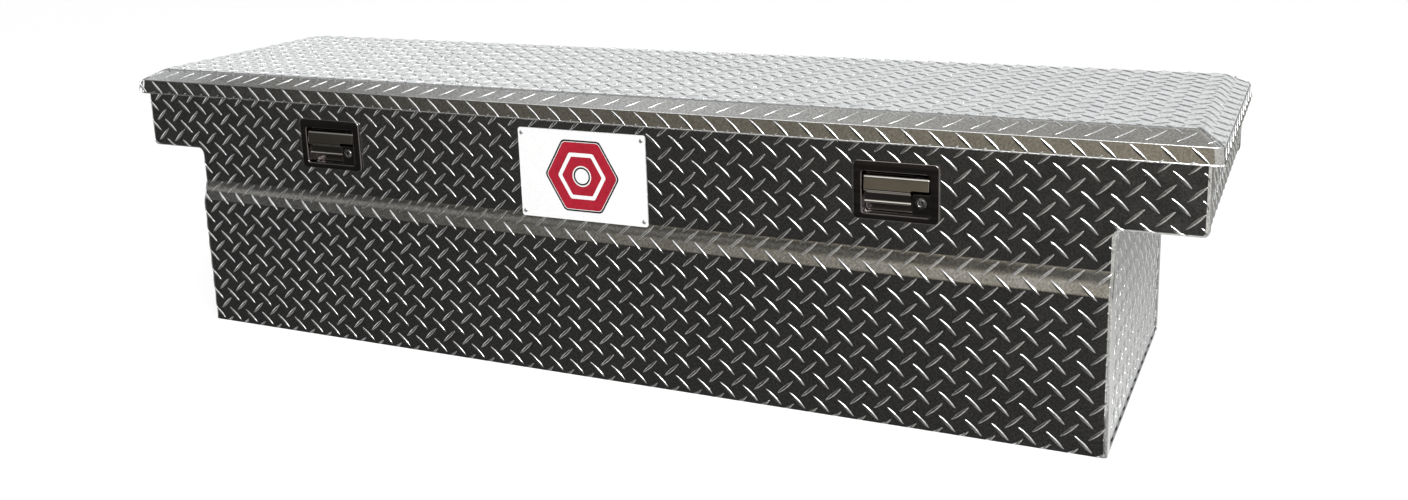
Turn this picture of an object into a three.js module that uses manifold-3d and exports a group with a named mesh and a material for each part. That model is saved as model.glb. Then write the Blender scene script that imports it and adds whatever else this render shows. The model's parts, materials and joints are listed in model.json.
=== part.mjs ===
// Crossover truck tool box: a T-shaped aluminium bin that hangs between the bed rails, with one
// full-width lid on a rear piano hinge, two keyed paddle latches and two gas struts.
// Millimetres, +X to the right, +Y to the rear, +Z up. The origin is on the floor at the middle of
// the box's outline.
import * as THREE from 'three';
import { mergeVertices } from 'three/addons/utils/BufferGeometryUtils.js';
import Module from 'manifold-3d';

const wasm = await Module();
wasm.setup();

// ---------------------------------------------------------------- driving dimensions
const GAP = 0.3; // air between touching pieces
const SHEET = 2; // bin and lid sheet

const LID_LENGTH = 1778;
const LID_FRONT = -252;
const LID_REAR = 211;
const LID_BOTTOM = 398; // lower edge of the skirt
const LID_SKIRT = 23.5;
const LID_TILT = 2.5; // how far the skirt's top leans in
const LID_BEVEL_RISE = 15.5;
const LID_BEVEL_RUN = 32;
const LID_CORNER = { front: 12, rear: 22, top: 3 };

const WING_LENGTH = 1749; // body length at the wings
const BIN_LENGTH = 1532; // body length below the wings
const FRONT = -245; // front face above the ledge
const BIN_FRONT = -255; // front face below the ledge
const REAR = 255;
const LEDGE_TOP = 245;
const LEDGE_BOTTOM = 219;
const WING_BOTTOM = 305;
const RIM = 410; // top of the rim flanges under the lid
const RIM_FLANGE = 18;
const RETURN_FLANGE = 14; // flange that wraps each front and rear edge
const RAIL_TOP = 396; // fixed rail behind the lid
const RISER = 205; // rear face of the rail's riser

const SEAL_WIDTH = 9;
const SEAL_HEIGHT = 7.7;
const PAN_SHEET = 1.5;
const PAN_INSET = 4.8;

const HINGE = { y: 215.3, z: 400.3, length: 1700, knuckles: 25, radius: 4, bore: 2.35, pin: 2, leaf: 1.6 };
const HINGE_BODY_LEAF = 243; // rear edge of the leaf on the rail
const HINGE_LID_LEAF = 418; // top edge of the leaf on the lid

const BADGE = { x: -7, z: 315.7, width: 216, height: 138, sheet: 1.3, rivetX: 102, rivetZ: 61 };

const LATCH_X = 478; // each latch's distance from the middle
const BEZEL = { width: 120, low: 291.5, high: 373.5, face: -248.5, sheet: 2 };
const DISH = { left: -48, right: 47, low: 300, high: 359, back: -229, wall: 2 };
const PADDLE_AXIS = { y: -238, z: 350 };
const HOOK_AXIS = { y: -192, z: 340 };
const STRIKER_AXIS = { y: -200.5, z: 384.5 };
const LOCK = { x: 34, z: 319, plug: 6, plugSetBack: 1.7, body: 8, bodySetBack: 2.2 };

const STRUT_X = 745;
const STRUT_RADIUS = 160; // both studs lie on one circle about the hinge
const STRUT_BODY_STUD = { y: 195, z: HINGE.z - Math.sqrt(STRUT_RADIUS ** 2 - (HINGE.y - 195) ** 2) };
const STRUT_LID_STUD = { y: HINGE.y - Math.sqrt(STRUT_RADIUS ** 2 - 5 ** 2), z: HINGE.z - 5 };
const STRUT_TUBE_END = 183; // mouth of the tube, from the stud in the bin
const STRUT_ROD = 150; // rod's length, from the stud on the lid

const LID_TOP = LID_BOTTOM + LID_SKIRT + LID_BEVEL_RISE;
const PAN_BOTTOM = RIM + GAP + SEAL_HEIGHT + GAP;

// ---------------------------------------------------------------- materials
const metal = (color, roughness) => new THREE.MeshStandardMaterial({ color, roughness, metalness: 1 });
const plain = (color, roughness) => new THREE.MeshStandardMaterial({ color, roughness, metalness: 0 });
const treadPlate = metal(0xc6c8c9, 0.28);
const mill = metal(0xb4b6b8, 0.4);
const steel = metal(0x9a9da0, 0.35);
const brass = metal(0xb79a5a, 0.4);
const black = plain(0x121214, 0.3);
const rubber = plain(0x161616, 0.85);
const badgeWhite = plain(0xf2f2f2, 0.35);

// ---------------------------------------------------------------- solids
const toSolid = (geometry) => {
  const bare = geometry.clone();
  bare.deleteAttribute('normal');
  bare.deleteAttribute('uv');
  const welded = mergeVertices(bare, 1e-4);
  return new wasm.Manifold(new wasm.Mesh({
    numProp: 3,
    vertProperties: new Float32Array(welded.attributes.position.array),
    triVerts: new Uint32Array(welded.index.array),
  }));
};

const toGeometry = (solid) => {
  const { vertProperties, triVerts } = solid.getMesh();
  const geometry = new THREE.BufferGeometry();
  geometry.setAttribute('position', new THREE.BufferAttribute(new Float32Array(vertProperties), 3));
  geometry.setIndex(new THREE.BufferAttribute(new Uint32Array(triVerts), 1));
  geometry.computeVertexNormals();
  return geometry;
};

const unite = (...solids) => solids.reduce((whole, piece) => whole.add(piece));
const cut = (solid, ...tools) => tools.reduce((rest, tool) => rest.subtract(tool), solid);

const block = (x0, x1, y0, y1, z0, z1) => toSolid(
  new THREE.BoxGeometry(x1 - x0, y1 - y0, z1 - z0)
    .translate((x0 + x1) / 2, (y0 + y1) / 2, (z0 + z1) / 2),
);

const polygon = (points) => new THREE.Shape(points.map(([u, v]) => new THREE.Vector2(u, v)));

const extrude = (shape, depth) => new THREE.ExtrudeGeometry(shape, {
  depth, bevelEnabled: false, curveSegments: 6,
});

const AXIS = {
  x: new THREE.Vector3(1, 0, 0), y: new THREE.Vector3(0, 1, 0), z: new THREE.Vector3(0, 0, 1),
};

// An outline of (y, z) points, run along X.
const alongX = (points, x0, x1) => toSolid(
  extrude(polygon(points), x1 - x0)
    .applyMatrix4(new THREE.Matrix4().makeBasis(AXIS.y, AXIS.z, AXIS.x))
    .translate(x0, 0, 0),
);

// An outline of (x, z) points, run along Y.
const alongY = (points, y0, y1) => toSolid(
  extrude(polygon(points), y1 - y0)
    .applyMatrix4(new THREE.Matrix4().makeBasis(AXIS.x, AXIS.z, AXIS.y.clone().negate()))
    .translate(0, y1, 0),
);

const rodX = (radius, x0, x1, y, z, sides = 16) => toSolid(
  new THREE.CylinderGeometry(radius, radius, x1 - x0, sides)
    .rotateZ(Math.PI / 2).translate((x0 + x1) / 2, y, z),
);

const rodY = (radius, y0, y1, x, z, sides = 20) => toSolid(
  new THREE.CylinderGeometry(radius, radius, y1 - y0, sides).translate(x, (y0 + y1) / 2, z),
);

// A rod in the plane at x, from one distance to another along the line from a stud.
const rodFrom = (stud, angle, radius, from, to, x, sides = 16) => toSolid(
  new THREE.CylinderGeometry(radius, radius, to - from, sides)
    .translate(0, (from + to) / 2, 0)
    .rotateX(angle)
    .translate(x, stud.y, stud.z),
);

// A rectangle with round corners, as points in order. The corners at y1 may have their own radius.
const roundedRectangle = (x0, x1, y0, y1, radius, farRadius = radius, steps = 4) => {
  const corners = [
    [x1 - farRadius, y1 - farRadius, 0, farRadius], [x0 + farRadius, y1 - farRadius, 1, farRadius],
    [x0 + radius, y0 + radius, 2, radius], [x1 - radius, y0 + radius, 3, radius],
  ];
  return corners.flatMap(([cx, cy, quarter, r]) => Array.from({ length: steps + 1 }, (_, step) => {
    const angle = (quarter + step / steps) * Math.PI / 2;
    return [cx + r * Math.cos(angle), cy + r * Math.sin(angle)];
  }));
};

// A convex solid with one ring of points at each height.
const stackRings = (rings) => {
  const count = rings[0].points.length;
  const vertices = rings.flatMap(({ z, points }) => points.flatMap(([x, y]) => [x, y, z]));
  const faces = [];
  for (let level = 0; level < rings.length - 1; level += 1) {
    for (let i = 0; i < count; i += 1) {
      const a = level * count + i;
      const b = level * count + (i + 1) % count;
      faces.push(a, b, b + count, a, b + count, a + count);
    }
  }
  const top = (rings.length - 1) * count;
  for (let i = 1; i < count - 1; i += 1) faces.push(0, i + 1, i, top, top + i, top + i + 1);
  const geometry = new THREE.BufferGeometry();
  geometry.setAttribute('position', new THREE.Float32BufferAttribute(vertices, 3));
  geometry.setIndex(faces);
  return toSolid(geometry);
};

const box = new THREE.Group();
const place = (name, solid, material, x = 0) => {
  const mesh = new THREE.Mesh(toGeometry(solid), material);
  mesh.name = name;
  mesh.position.x = x;
  box.add(mesh);
};

const SIDES = [['left', -1], ['right', 1]];

// The same solid on the right as made, or mirrored to the left.
const handed = (sign, x0, x1) => (sign > 0 ? [x0, x1] : [-x1, -x0]);
const handedBlock = (sign, x0, x1, ...rest) => block(...handed(sign, x0, x1), ...rest);
const handedRodX = (sign, radius, x0, x1, ...rest) => rodX(radius, ...handed(sign, x0, x1), ...rest);

// ---------------------------------------------------------------- bin
const wing = WING_LENGTH / 2;
const bin = BIN_LENGTH / 2;
const FAR = 2000;

const belowWings = () => SIDES.map(
  ([, sign]) => handedBlock(sign, bin, FAR, -FAR, FAR, -1, WING_BOTTOM),
);

// Flanges that wrap a front or rear sheet round the bin's T outline, between two depths.
const returnFlanges = (y0, y1, top, lowerEdge) => SIDES.flatMap(([, sign]) => [
  handedBlock(sign, wing - SHEET, wing, y0, y1, WING_BOTTOM, top),
  handedBlock(sign, bin - SHEET, wing, y0, y1, WING_BOTTOM, WING_BOTTOM + SHEET),
  alongX(lowerEdge, ...handed(sign, bin - SHEET, bin)),
]);

const latchCutOut = (sign) => {
  const clearance = 1.5;
  const x = sign * LATCH_X;
  return block(
    x + DISH.left - DISH.wall - clearance, x + DISH.right + DISH.wall + clearance,
    FRONT - 5, FRONT + 5,
    DISH.low - DISH.wall - clearance, DISH.high + DISH.wall + clearance,
  );
};

const badgeRivets = () => {
  const spots = [[-1, 1], [1, 1], [1, -1], [-1, -1]];
  return spots.map(([u, v]) => [BADGE.x + u * BADGE.rivetX, BADGE.z + v * BADGE.rivetZ]);
};
const RIVET_HEAD = 3.2;
const RIVET_HEAD_HEIGHT = 1.1;
const RIVET_SHANK = 1.5;
const RIVET_TAIL = 1.5; // shank's reach behind the front sheet
const rivetHoles = () => badgeRivets().map(
  ([x, z]) => rodY(RIVET_SHANK + GAP, FRONT - 5, FRONT + 5, x, z, 12),
);

const slope = Math.atan2(FRONT - BIN_FRONT, LEDGE_TOP - LEDGE_BOTTOM);
const bendShift = SHEET * Math.tan(slope / 2);
const frontInner = FRONT + RETURN_FLANGE;
const frontProfile = [
  [BIN_FRONT, 0], [BIN_FRONT + SHEET, 0],
  [BIN_FRONT + SHEET, LEDGE_BOTTOM - bendShift], [FRONT + SHEET, LEDGE_TOP - bendShift],
  [FRONT + SHEET, RIM - SHEET], [FRONT + RIM_FLANGE, RIM - SHEET],
  [FRONT + RIM_FLANGE, RIM], [FRONT, RIM], [FRONT, LEDGE_TOP], [BIN_FRONT, LEDGE_BOTTOM],
];
const frontLowerFlange = [
  [BIN_FRONT, 0], [frontInner, 0], [frontInner, WING_BOTTOM + SHEET],
  [FRONT, WING_BOTTOM + SHEET], [FRONT, LEDGE_TOP], [BIN_FRONT, LEDGE_BOTTOM],
];
const frontSheet = cut(alongX(frontProfile, -wing, wing), ...belowWings());
place('front_panel', cut(
  unite(frontSheet, ...returnFlanges(FRONT, frontInner, RIM, frontLowerFlange)),
  latchCutOut(-1), latchCutOut(1), ...rivetHoles(),
), treadPlate);

const rearInner = REAR - RETURN_FLANGE;
const rearProfile = [
  [REAR - SHEET, 0], [REAR, 0], [REAR, RAIL_TOP], [RISER, RAIL_TOP], [RISER, RIM],
  [RISER - RIM_FLANGE, RIM], [RISER - RIM_FLANGE, RIM - SHEET], [RISER - SHEET, RIM - SHEET],
  [RISER - SHEET, RAIL_TOP - SHEET], [REAR - SHEET, RAIL_TOP - SHEET],
];
const rearLowerFlange = [
  [rearInner, 0], [REAR, 0], [REAR, WING_BOTTOM + SHEET], [rearInner, WING_BOTTOM + SHEET],
];
const rearSheet = cut(alongX(rearProfile, -wing, wing), ...belowWings());
place('rear_panel', unite(
  rearSheet, ...returnFlanges(rearInner, REAR, RAIL_TOP, rearLowerFlange),
), treadPlate);

const wallInset = SHEET + GAP; // end walls stand inside the wrapping flanges
place('floor_panel', block(
  -bin + wallInset, bin - wallInset, BIN_FRONT + wallInset, REAR - wallInset, 0, SHEET,
), treadPlate);

for (const [side, sign] of SIDES) {
  const low = bin - wallInset;
  const high = wing - wallInset;
  const wingFloor = WING_BOTTOM + wallInset;
  const outline = [
    [low, wallInset], [low, wingFloor], [high, wingFloor], [high, RIM],
    [high - RIM_FLANGE, RIM], [high - RIM_FLANGE, RIM - SHEET], [high - SHEET, RIM - SHEET],
    [high - SHEET, wingFloor + SHEET], [low - SHEET, wingFloor + SHEET], [low - SHEET, wallInset],
  ].map(([x, z]) => [sign * x, z]);
  place(`${side}_end_panel`, cut(
    alongY(sign > 0 ? outline : outline.reverse(), FRONT + wallInset, REAR - wallInset),
    handedBlock(sign, 0, FAR, -FAR, FRONT + RIM_FLANGE + GAP, RIM - SHEET - GAP, FAR),
    handedBlock(sign, 0, FAR, RISER - RIM_FLANGE - GAP, FAR, RIM - SHEET - GAP, FAR),
    handedBlock(sign, 0, FAR, RISER - wallInset, FAR, RAIL_TOP - wallInset, FAR),
  ), treadPlate);
}

const sealMiddle = {
  front: FRONT + RIM_FLANGE / 2, rear: RISER - RIM_FLANGE / 2, side: wing - wallInset - RIM_FLANGE / 2,
};
const sealRing = (grow, z0, z1) => stackRings([z0, z1].map((z) => ({
  z,
  points: roundedRectangle(
    -sealMiddle.side - grow, sealMiddle.side + grow,
    sealMiddle.front - grow, sealMiddle.rear + grow, 8 + grow,
  ),
})));
place('lid_seal', cut(
  sealRing(SEAL_WIDTH / 2, RIM + GAP, RIM + GAP + SEAL_HEIGHT),
  sealRing(-SEAL_WIDTH / 2, 0, FAR),
), rubber);

// ---------------------------------------------------------------- badge
const badgeBack = FRONT - GAP;
const badgeFace = badgeBack - BADGE.sheet;
place('badge_plate', cut(block(
  BADGE.x - BADGE.width / 2, BADGE.x + BADGE.width / 2, badgeFace, badgeBack,
  BADGE.z - BADGE.height / 2, BADGE.z + BADGE.height / 2,
), ...rivetHoles()), badgeWhite);
badgeRivets().forEach(([x, z], index) => place(`badge_rivet_${index + 1}`, unite(
  rodY(RIVET_HEAD, badgeFace - GAP - RIVET_HEAD_HEIGHT, badgeFace - GAP, x, z),
  rodY(RIVET_SHANK, badgeFace - GAP - RIVET_HEAD_HEIGHT / 2, FRONT + SHEET + RIVET_TAIL, x, z, 12),
), mill));

// ---------------------------------------------------------------- latches
// Each latch is made about x = 0 and stands at -LATCH_X or LATCH_X, both the same way round.
const PADDLE_PIN_RADIUS = 1.9;
const HOOK_PIN_RADIUS = 3;
const PADDLE_PIN = { left: -49.5, right: 48.5 };
const HOOK_PIN_HALF = 18;
const BOSS = { left: 22.5, top: 331, setBack: 2 }; // raised block in the dish that carries the lock
const FINGER = { half: 4, back: -219, low: 345, high: 348 }; // paddle's tab that pushes the hook
const WINDOW = { half: 6, low: 337, high: 351 }; // hole in the dish for the finger
const bezelBack = BEZEL.face + BEZEL.sheet;
const dishBackOuter = DISH.back + DISH.wall;
const through = (axis, radius) => rodX(radius + GAP, -FAR, FAR, axis.y, axis.z);
const housing = () => {
  const bezel = block(-BEZEL.width / 2, BEZEL.width / 2, BEZEL.face, bezelBack, BEZEL.low, BEZEL.high);
  const shell = block(
    DISH.left - DISH.wall, DISH.right + DISH.wall, bezelBack, dishBackOuter,
    DISH.low - DISH.wall, DISH.high + DISH.wall,
  );
  const hollow = block(DISH.left, DISH.right, BEZEL.face - 1, DISH.back, DISH.low, DISH.high);
  const boss = block(
    BOSS.left, DISH.right + 1, BEZEL.face + BOSS.setBack, dishBackOuter - 1, DISH.low - 1, BOSS.top,
  );
  const lockHole = rodY(LOCK.body + GAP, BEZEL.face - 1, dishBackOuter + 1, LOCK.x, LOCK.z);
  const fingerWindow = block(
    -WINDOW.half, WINDOW.half, DISH.back - 1, dishBackOuter + 1, WINDOW.low, WINDOW.high,
  );
  return cut(
    unite(cut(unite(bezel, shell), hollow), boss),
    lockHole, fingerWindow, through(PADDLE_AXIS, PADDLE_PIN_RADIUS),
  );
};

const GASKET_INSET = 1; // gasket's edge, inside the bezel's
const gasket = () => cut(
  block(
    GASKET_INSET - BEZEL.width / 2, BEZEL.width / 2 - GASKET_INSET, bezelBack + GAP, FRONT - GAP,
    BEZEL.low + GASKET_INSET, BEZEL.high - GASKET_INSET,
  ),
  latchCutOut(0),
);

const PADDLE_HALF = 45.5;
const PADDLE_NOTCH = 20; // the paddle's low half stops here, beside the lock
const PADDLE_RIDGE = 333;
const SPRING_POCKET = { left: 23, right: 41, front: -242.4, back: -230, low: 340, high: 360 };
const FINGER_ROOT = -236;
const paddleProfile = [
  [-245.5, 354], [-248, PADDLE_RIDGE], [-241, 313], [-238.8, 313.8], [-245.4, PADDLE_RIDGE],
  [-243.6, 345.5], [-240, 346.2], [-235, 346.4], [-234.4, 350], [-236, 353.4], [-240, 354.2],
];
const paddle = () => cut(
  unite(
    alongX(paddleProfile, -PADDLE_HALF, PADDLE_HALF),
    block(-FINGER.half, FINGER.half, FINGER_ROOT, FINGER.back, FINGER.low, FINGER.high),
  ),
  block(PADDLE_NOTCH, FAR, -FAR, FAR, 0, PADDLE_RIDGE - 1),
  block(
    SPRING_POCKET.left, SPRING_POCKET.right, SPRING_POCKET.front, SPRING_POCKET.back,
    SPRING_POCKET.low, SPRING_POCKET.high,
  ),
  through(PADDLE_AXIS, PADDLE_PIN_RADIUS),
);

const BRACKET = { half: 17, low: 318, high: 358, sheet: 2, ear: 16 };
const EAR = { low: 328, high: 352, back: -184, corner: 6 };
const ARM_WINDOW = { half: 6.5, low: 322, high: 353 }; // the finger and the hook's arm move in it
const bracket = () => {
  const back = dishBackOuter + GAP;
  const cornerStart = EAR.back - EAR.corner;
  const ear = [
    [back, EAR.low], [cornerStart, EAR.low], [EAR.back, EAR.low + EAR.corner],
    [EAR.back, EAR.high - EAR.corner], [cornerStart, EAR.high], [back, EAR.high],
  ];
  const plate = block(-BRACKET.half, BRACKET.half, back, back + BRACKET.sheet, BRACKET.low, BRACKET.high);
  const ears = SIDES.map(
    ([, sign]) => alongX(ear, ...handed(sign, BRACKET.ear - BRACKET.sheet, BRACKET.ear)),
  );
  return cut(
    unite(plate, ...ears),
    block(-ARM_WINDOW.half, ARM_WINDOW.half, -FAR, FAR, ARM_WINDOW.low, ARM_WINDOW.high),
    through(HOOK_AXIS, HOOK_PIN_RADIUS),
  );
};

const HOOK_HALF = 3; // half the hook's thickness
const hookOutline = [ // arm, hub, shank and the beak that holds the striker
  [-226, 338.9], [-200, 332], [-188, 332.5], [-184, 337], [-184, 344], [-190, 349], [-206, 352],
  [-206, 389], [-195, 389], [-194, 392], [-199, 396], [-212, 396], [-214, 393], [-214, 344],
  [-226, 344],
];
const hook = () => cut(
  alongX(hookOutline, -HOOK_HALF, HOOK_HALF),
  through(HOOK_AXIS, HOOK_PIN_RADIUS),
);

const PADDLE_SPRING = { radius: 3, wire: 0.5, left: 25, right: 39, turns: 6 };
const HOOK_SPRING = { radius: 4.8, wire: 0.7, left: 5, right: 12, turns: 4 };

// A coil of round wire about an X axis.
const torsionSpring = (axis, { radius, wire, left, right, turns }) => {
  const perTurn = 10;
  const steps = turns * perTurn;
  const points = Array.from({ length: steps + 1 }, (_, step) => {
    const angle = (step / perTurn) * 2 * Math.PI;
    return new THREE.Vector3(
      left + (right - left) * step / steps,
      axis.y + radius * Math.cos(angle),
      axis.z + radius * Math.sin(angle),
    );
  });
  const section = new THREE.Shape().absarc(0, 0, wire, 0, 2 * Math.PI);
  return toSolid(new THREE.ExtrudeGeometry(section, {
    steps, bevelEnabled: false, curveSegments: 3, extrudePath: new THREE.CatmullRomCurve3(points),
  }));
};

const LOCK_BODY_BACK = -212;
const LOCK_NUT = { radius: 11, depth: 4 };
const lockBody = () => {
  const nutFace = dishBackOuter + GAP;
  const nut = rodY(LOCK_NUT.radius, nutFace, nutFace + LOCK_NUT.depth, LOCK.x, LOCK.z, 6);
  const barrel = rodY(LOCK.body, BEZEL.face + LOCK.bodySetBack, LOCK_BODY_BACK, LOCK.x, LOCK.z);
  return cut(unite(barrel, nut), rodY(LOCK.plug + GAP, -FAR, FAR, LOCK.x, LOCK.z));
};

const PLUG_BACK = -211.5;
const CAM_TAIL = { radius: 3.5, back: -205.5 };
const KEYHOLE = { half: 0.6, tall: 3.5, depth: 2 };
const lockPlug = () => {
  const face = BEZEL.face + LOCK.plugSetBack;
  const keyhole = block(
    LOCK.x - KEYHOLE.half, LOCK.x + KEYHOLE.half, face - 1, face + KEYHOLE.depth,
    LOCK.z - KEYHOLE.tall, LOCK.z + KEYHOLE.tall,
  );
  return cut(unite(
    rodY(LOCK.plug, face, PLUG_BACK, LOCK.x, LOCK.z),
    rodY(CAM_TAIL.radius, LOCK_BODY_BACK, CAM_TAIL.back, LOCK.x, LOCK.z, 12),
  ), keyhole);
};

const CAM = { front: -210.6, back: -208.6, hub: 7, half: 5, length: 20 };
const lockCam = () => cut(
  unite(
    rodY(CAM.hub, CAM.front, CAM.back, LOCK.x, LOCK.z),
    block(LOCK.x - CAM.half, LOCK.x + CAM.half, CAM.front, CAM.back, LOCK.z - CAM.length, LOCK.z),
  ),
  rodY(CAM_TAIL.radius + GAP, -FAR, FAR, LOCK.x, LOCK.z, 12),
);

const STRIKER = { bar: 3, barHalf: 11, leg: 10.5, legSheet: 3, legHalf: 6, drop: 4 };
const STRIKER_PLATE = { half: 25, halfWidth: 11, sheet: 2 };
const striker = () => {
  const { y, z } = STRIKER_AXIS;
  const top = PAN_BOTTOM - GAP;
  const legs = SIDES.map(([, sign]) => handedBlock(
    sign, STRIKER.leg, STRIKER.leg + STRIKER.legSheet, y - STRIKER.legHalf, y + STRIKER.legHalf,
    z - STRIKER.drop, top - STRIKER_PLATE.sheet / 2,
  ));
  const foot = block(
    -STRIKER_PLATE.half, STRIKER_PLATE.half, y - STRIKER_PLATE.halfWidth, y + STRIKER_PLATE.halfWidth,
    top - STRIKER_PLATE.sheet, top,
  );
  return unite(rodX(STRIKER.bar, -STRIKER.barHalf, STRIKER.barHalf, y, z), ...legs, foot);
};

for (const [side, sign] of SIDES) {
  const x = sign * LATCH_X;
  place(`latch_housing_${side}`, housing(), black, x);
  place(`housing_gasket_${side}`, gasket(), rubber, x);
  place(`paddle_${side}`, paddle(), black, x);
  place(`paddle_pin_${side}`, rodX(
    PADDLE_PIN_RADIUS, PADDLE_PIN.left, PADDLE_PIN.right, PADDLE_AXIS.y, PADDLE_AXIS.z,
  ), steel, x);
  place(`paddle_spring_${side}`, torsionSpring(PADDLE_AXIS, PADDLE_SPRING), steel, x);
  place(`latch_bracket_${side}`, bracket(), steel, x);
  place(`latch_hook_${side}`, hook(), steel, x);
  place(`hook_pin_${side}`, rodX(
    HOOK_PIN_RADIUS, -HOOK_PIN_HALF, HOOK_PIN_HALF, HOOK_AXIS.y, HOOK_AXIS.z,
  ), steel, x);
  place(`hook_spring_${side}`, torsionSpring(HOOK_AXIS, HOOK_SPRING), steel, x);
  place(`lock_body_${side}`, lockBody(), steel, x);
  place(`lock_plug_${side}`, lockPlug(), brass, x);
  place(`lock_cam_${side}`, lockCam(), steel, x);
  place(`striker_${side}`, striker(), steel, x);
}

// ---------------------------------------------------------------- lid
const lidRing = (inset, z, front = LID_CORNER.front - inset, rear = LID_CORNER.rear - inset) => ({
  z,
  points: roundedRectangle(
    -LID_LENGTH / 2 + inset, LID_LENGTH / 2 - inset, LID_FRONT + inset, LID_REAR - inset, front, rear,
  ),
});
const flatRing = (inset, z) => lidRing(inset, z, LID_CORNER.top, LID_CORNER.top);
const bevelSlope = LID_BEVEL_RISE / (LID_BEVEL_RUN - LID_TILT);
const bevelDrop = SHEET * Math.hypot(1, bevelSlope); // sheet measured straight down
const innerTilt = SHEET + LID_TILT;
const innerSkirtTop = LID_BOTTOM + LID_SKIRT + SHEET * bevelSlope - bevelDrop;
const innerBevelRun = LID_BEVEL_RUN + (bevelDrop - SHEET) / bevelSlope;
place('lid_shell', cut(
  stackRings([
    lidRing(0, LID_BOTTOM), lidRing(LID_TILT, LID_BOTTOM + LID_SKIRT), flatRing(LID_BEVEL_RUN, LID_TOP),
  ]),
  stackRings([
    lidRing(SHEET - LID_TILT / LID_SKIRT, LID_BOTTOM - 1), lidRing(innerTilt, innerSkirtTop),
    flatRing(innerBevelRun, LID_TOP - SHEET),
  ]),
), treadPlate);

place('lid_pan', stackRings(
  [PAN_BOTTOM, PAN_BOTTOM + PAN_SHEET].map((z) => lidRing(PAN_INSET, z)),
), mill);

const hatBottom = PAN_BOTTOM + PAN_SHEET + GAP;
const hatTop = LID_TOP - SHEET - GAP;
const HAT = { half: 780, brim: 32, foot: 16, crown: 11, sheet: 1.5, lean: 1, front: -120, rear: 80 };
const hat = (y) => {
  const { brim, foot, crown, sheet, lean } = HAT;
  const outline = [
    [-brim, hatBottom], [-foot, hatBottom], [-crown, hatTop - sheet], [crown, hatTop - sheet],
    [foot, hatBottom], [brim, hatBottom], [brim, hatBottom + sheet], [foot + lean, hatBottom + sheet],
    [crown + lean, hatTop], [-crown - lean, hatTop], [-foot - lean, hatBottom + sheet],
    [-brim, hatBottom + sheet],
  ];
  return alongX(outline.map(([u, z]) => [y + u, z]), -HAT.half, HAT.half);
};
place('lid_stiffener_front', hat(HAT.front), mill);
place('lid_stiffener_rear', hat(HAT.rear), mill);

// ---------------------------------------------------------------- hinge
// Each leaf is one strip with a barrel; the other leaf's knuckles are cut out of it.
const hingeHalf = HINGE.length / 2;
const barrel = () => rodX(HINGE.radius, -hingeHalf, hingeHalf, HINGE.y, HINGE.z, 12);
const hingeBore = () => rodX(HINGE.bore, -FAR, FAR, HINGE.y, HINGE.z, 12);
const knucklePitch = HINGE.length / HINGE.knuckles;
const knuckleGaps = (first) => {
  const reach = HINGE.radius + 0.4;
  const gaps = [];
  for (let i = first; i < HINGE.knuckles; i += 2) {
    const start = -hingeHalf + i * knucklePitch;
    gaps.push(block(
      start - (i === 0 ? 1 : GAP / 2), start + knucklePitch + (i === HINGE.knuckles - 1 ? 1 : GAP / 2),
      HINGE.y - reach, HINGE.y + reach, HINGE.z - reach, HINGE.z + reach,
    ));
  }
  return gaps;
};
const railLeaf = block(
  -hingeHalf, hingeHalf, HINGE.y, HINGE_BODY_LEAF,
  HINGE.z - HINGE.radius, HINGE.z - HINGE.radius + HINGE.leaf,
);
const lidLeafFace = HINGE.y - HINGE.radius;
const lidLeafLean = (HINGE_LID_LEAF - HINGE.z) * LID_TILT / LID_SKIRT;
const lidLeaf = alongX([
  [lidLeafFace, HINGE.z], [lidLeafFace + HINGE.leaf, HINGE.z],
  [lidLeafFace + HINGE.leaf - lidLeafLean, HINGE_LID_LEAF], [lidLeafFace - lidLeafLean, HINGE_LID_LEAF],
], -hingeHalf, hingeHalf);
place('hinge_leaf_body', cut(unite(barrel(), railLeaf), hingeBore(), ...knuckleGaps(1)), mill);
place('hinge_leaf_lid', cut(unite(barrel(), lidLeaf), hingeBore(), ...knuckleGaps(0)), mill);
place('hinge_pin', rodX(HINGE.pin, -hingeHalf - 1, hingeHalf + 1, HINGE.y, HINGE.z, 12), steel);

// ---------------------------------------------------------------- gas struts
const run = [STRUT_LID_STUD.y - STRUT_BODY_STUD.y, STRUT_LID_STUD.z - STRUT_BODY_STUD.z];
const strutAngle = Math.atan2(run[1], run[0]);
const STUD = 4;
const STUD_END = 8; // the stud's head, from the middle of the eye
const STUD_HEAD = 2;
const EYE = 8.5;
const EYE_HALF = 5;
const EYE_AIR = 0.4; // between the eye and the stud
const NECK = { radius: 5, from: 6, to: 20 };
const ROD = 4;
const TUBE = { radius: 9, wall: 1.5, from: 18, inside: 24 };
const GLAND = { depth: 3, air: 0.6 };
const PISTON = { radius: 6.5, length: 8 };
const BIN_PLATE = { sheet: 3, halfWidth: 15, halfHeight: 20 };
const LID_PLATE = { offset: 8, sheet: 3, half: 12, drop: 9, foot: 2, flange: 14 };

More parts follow.
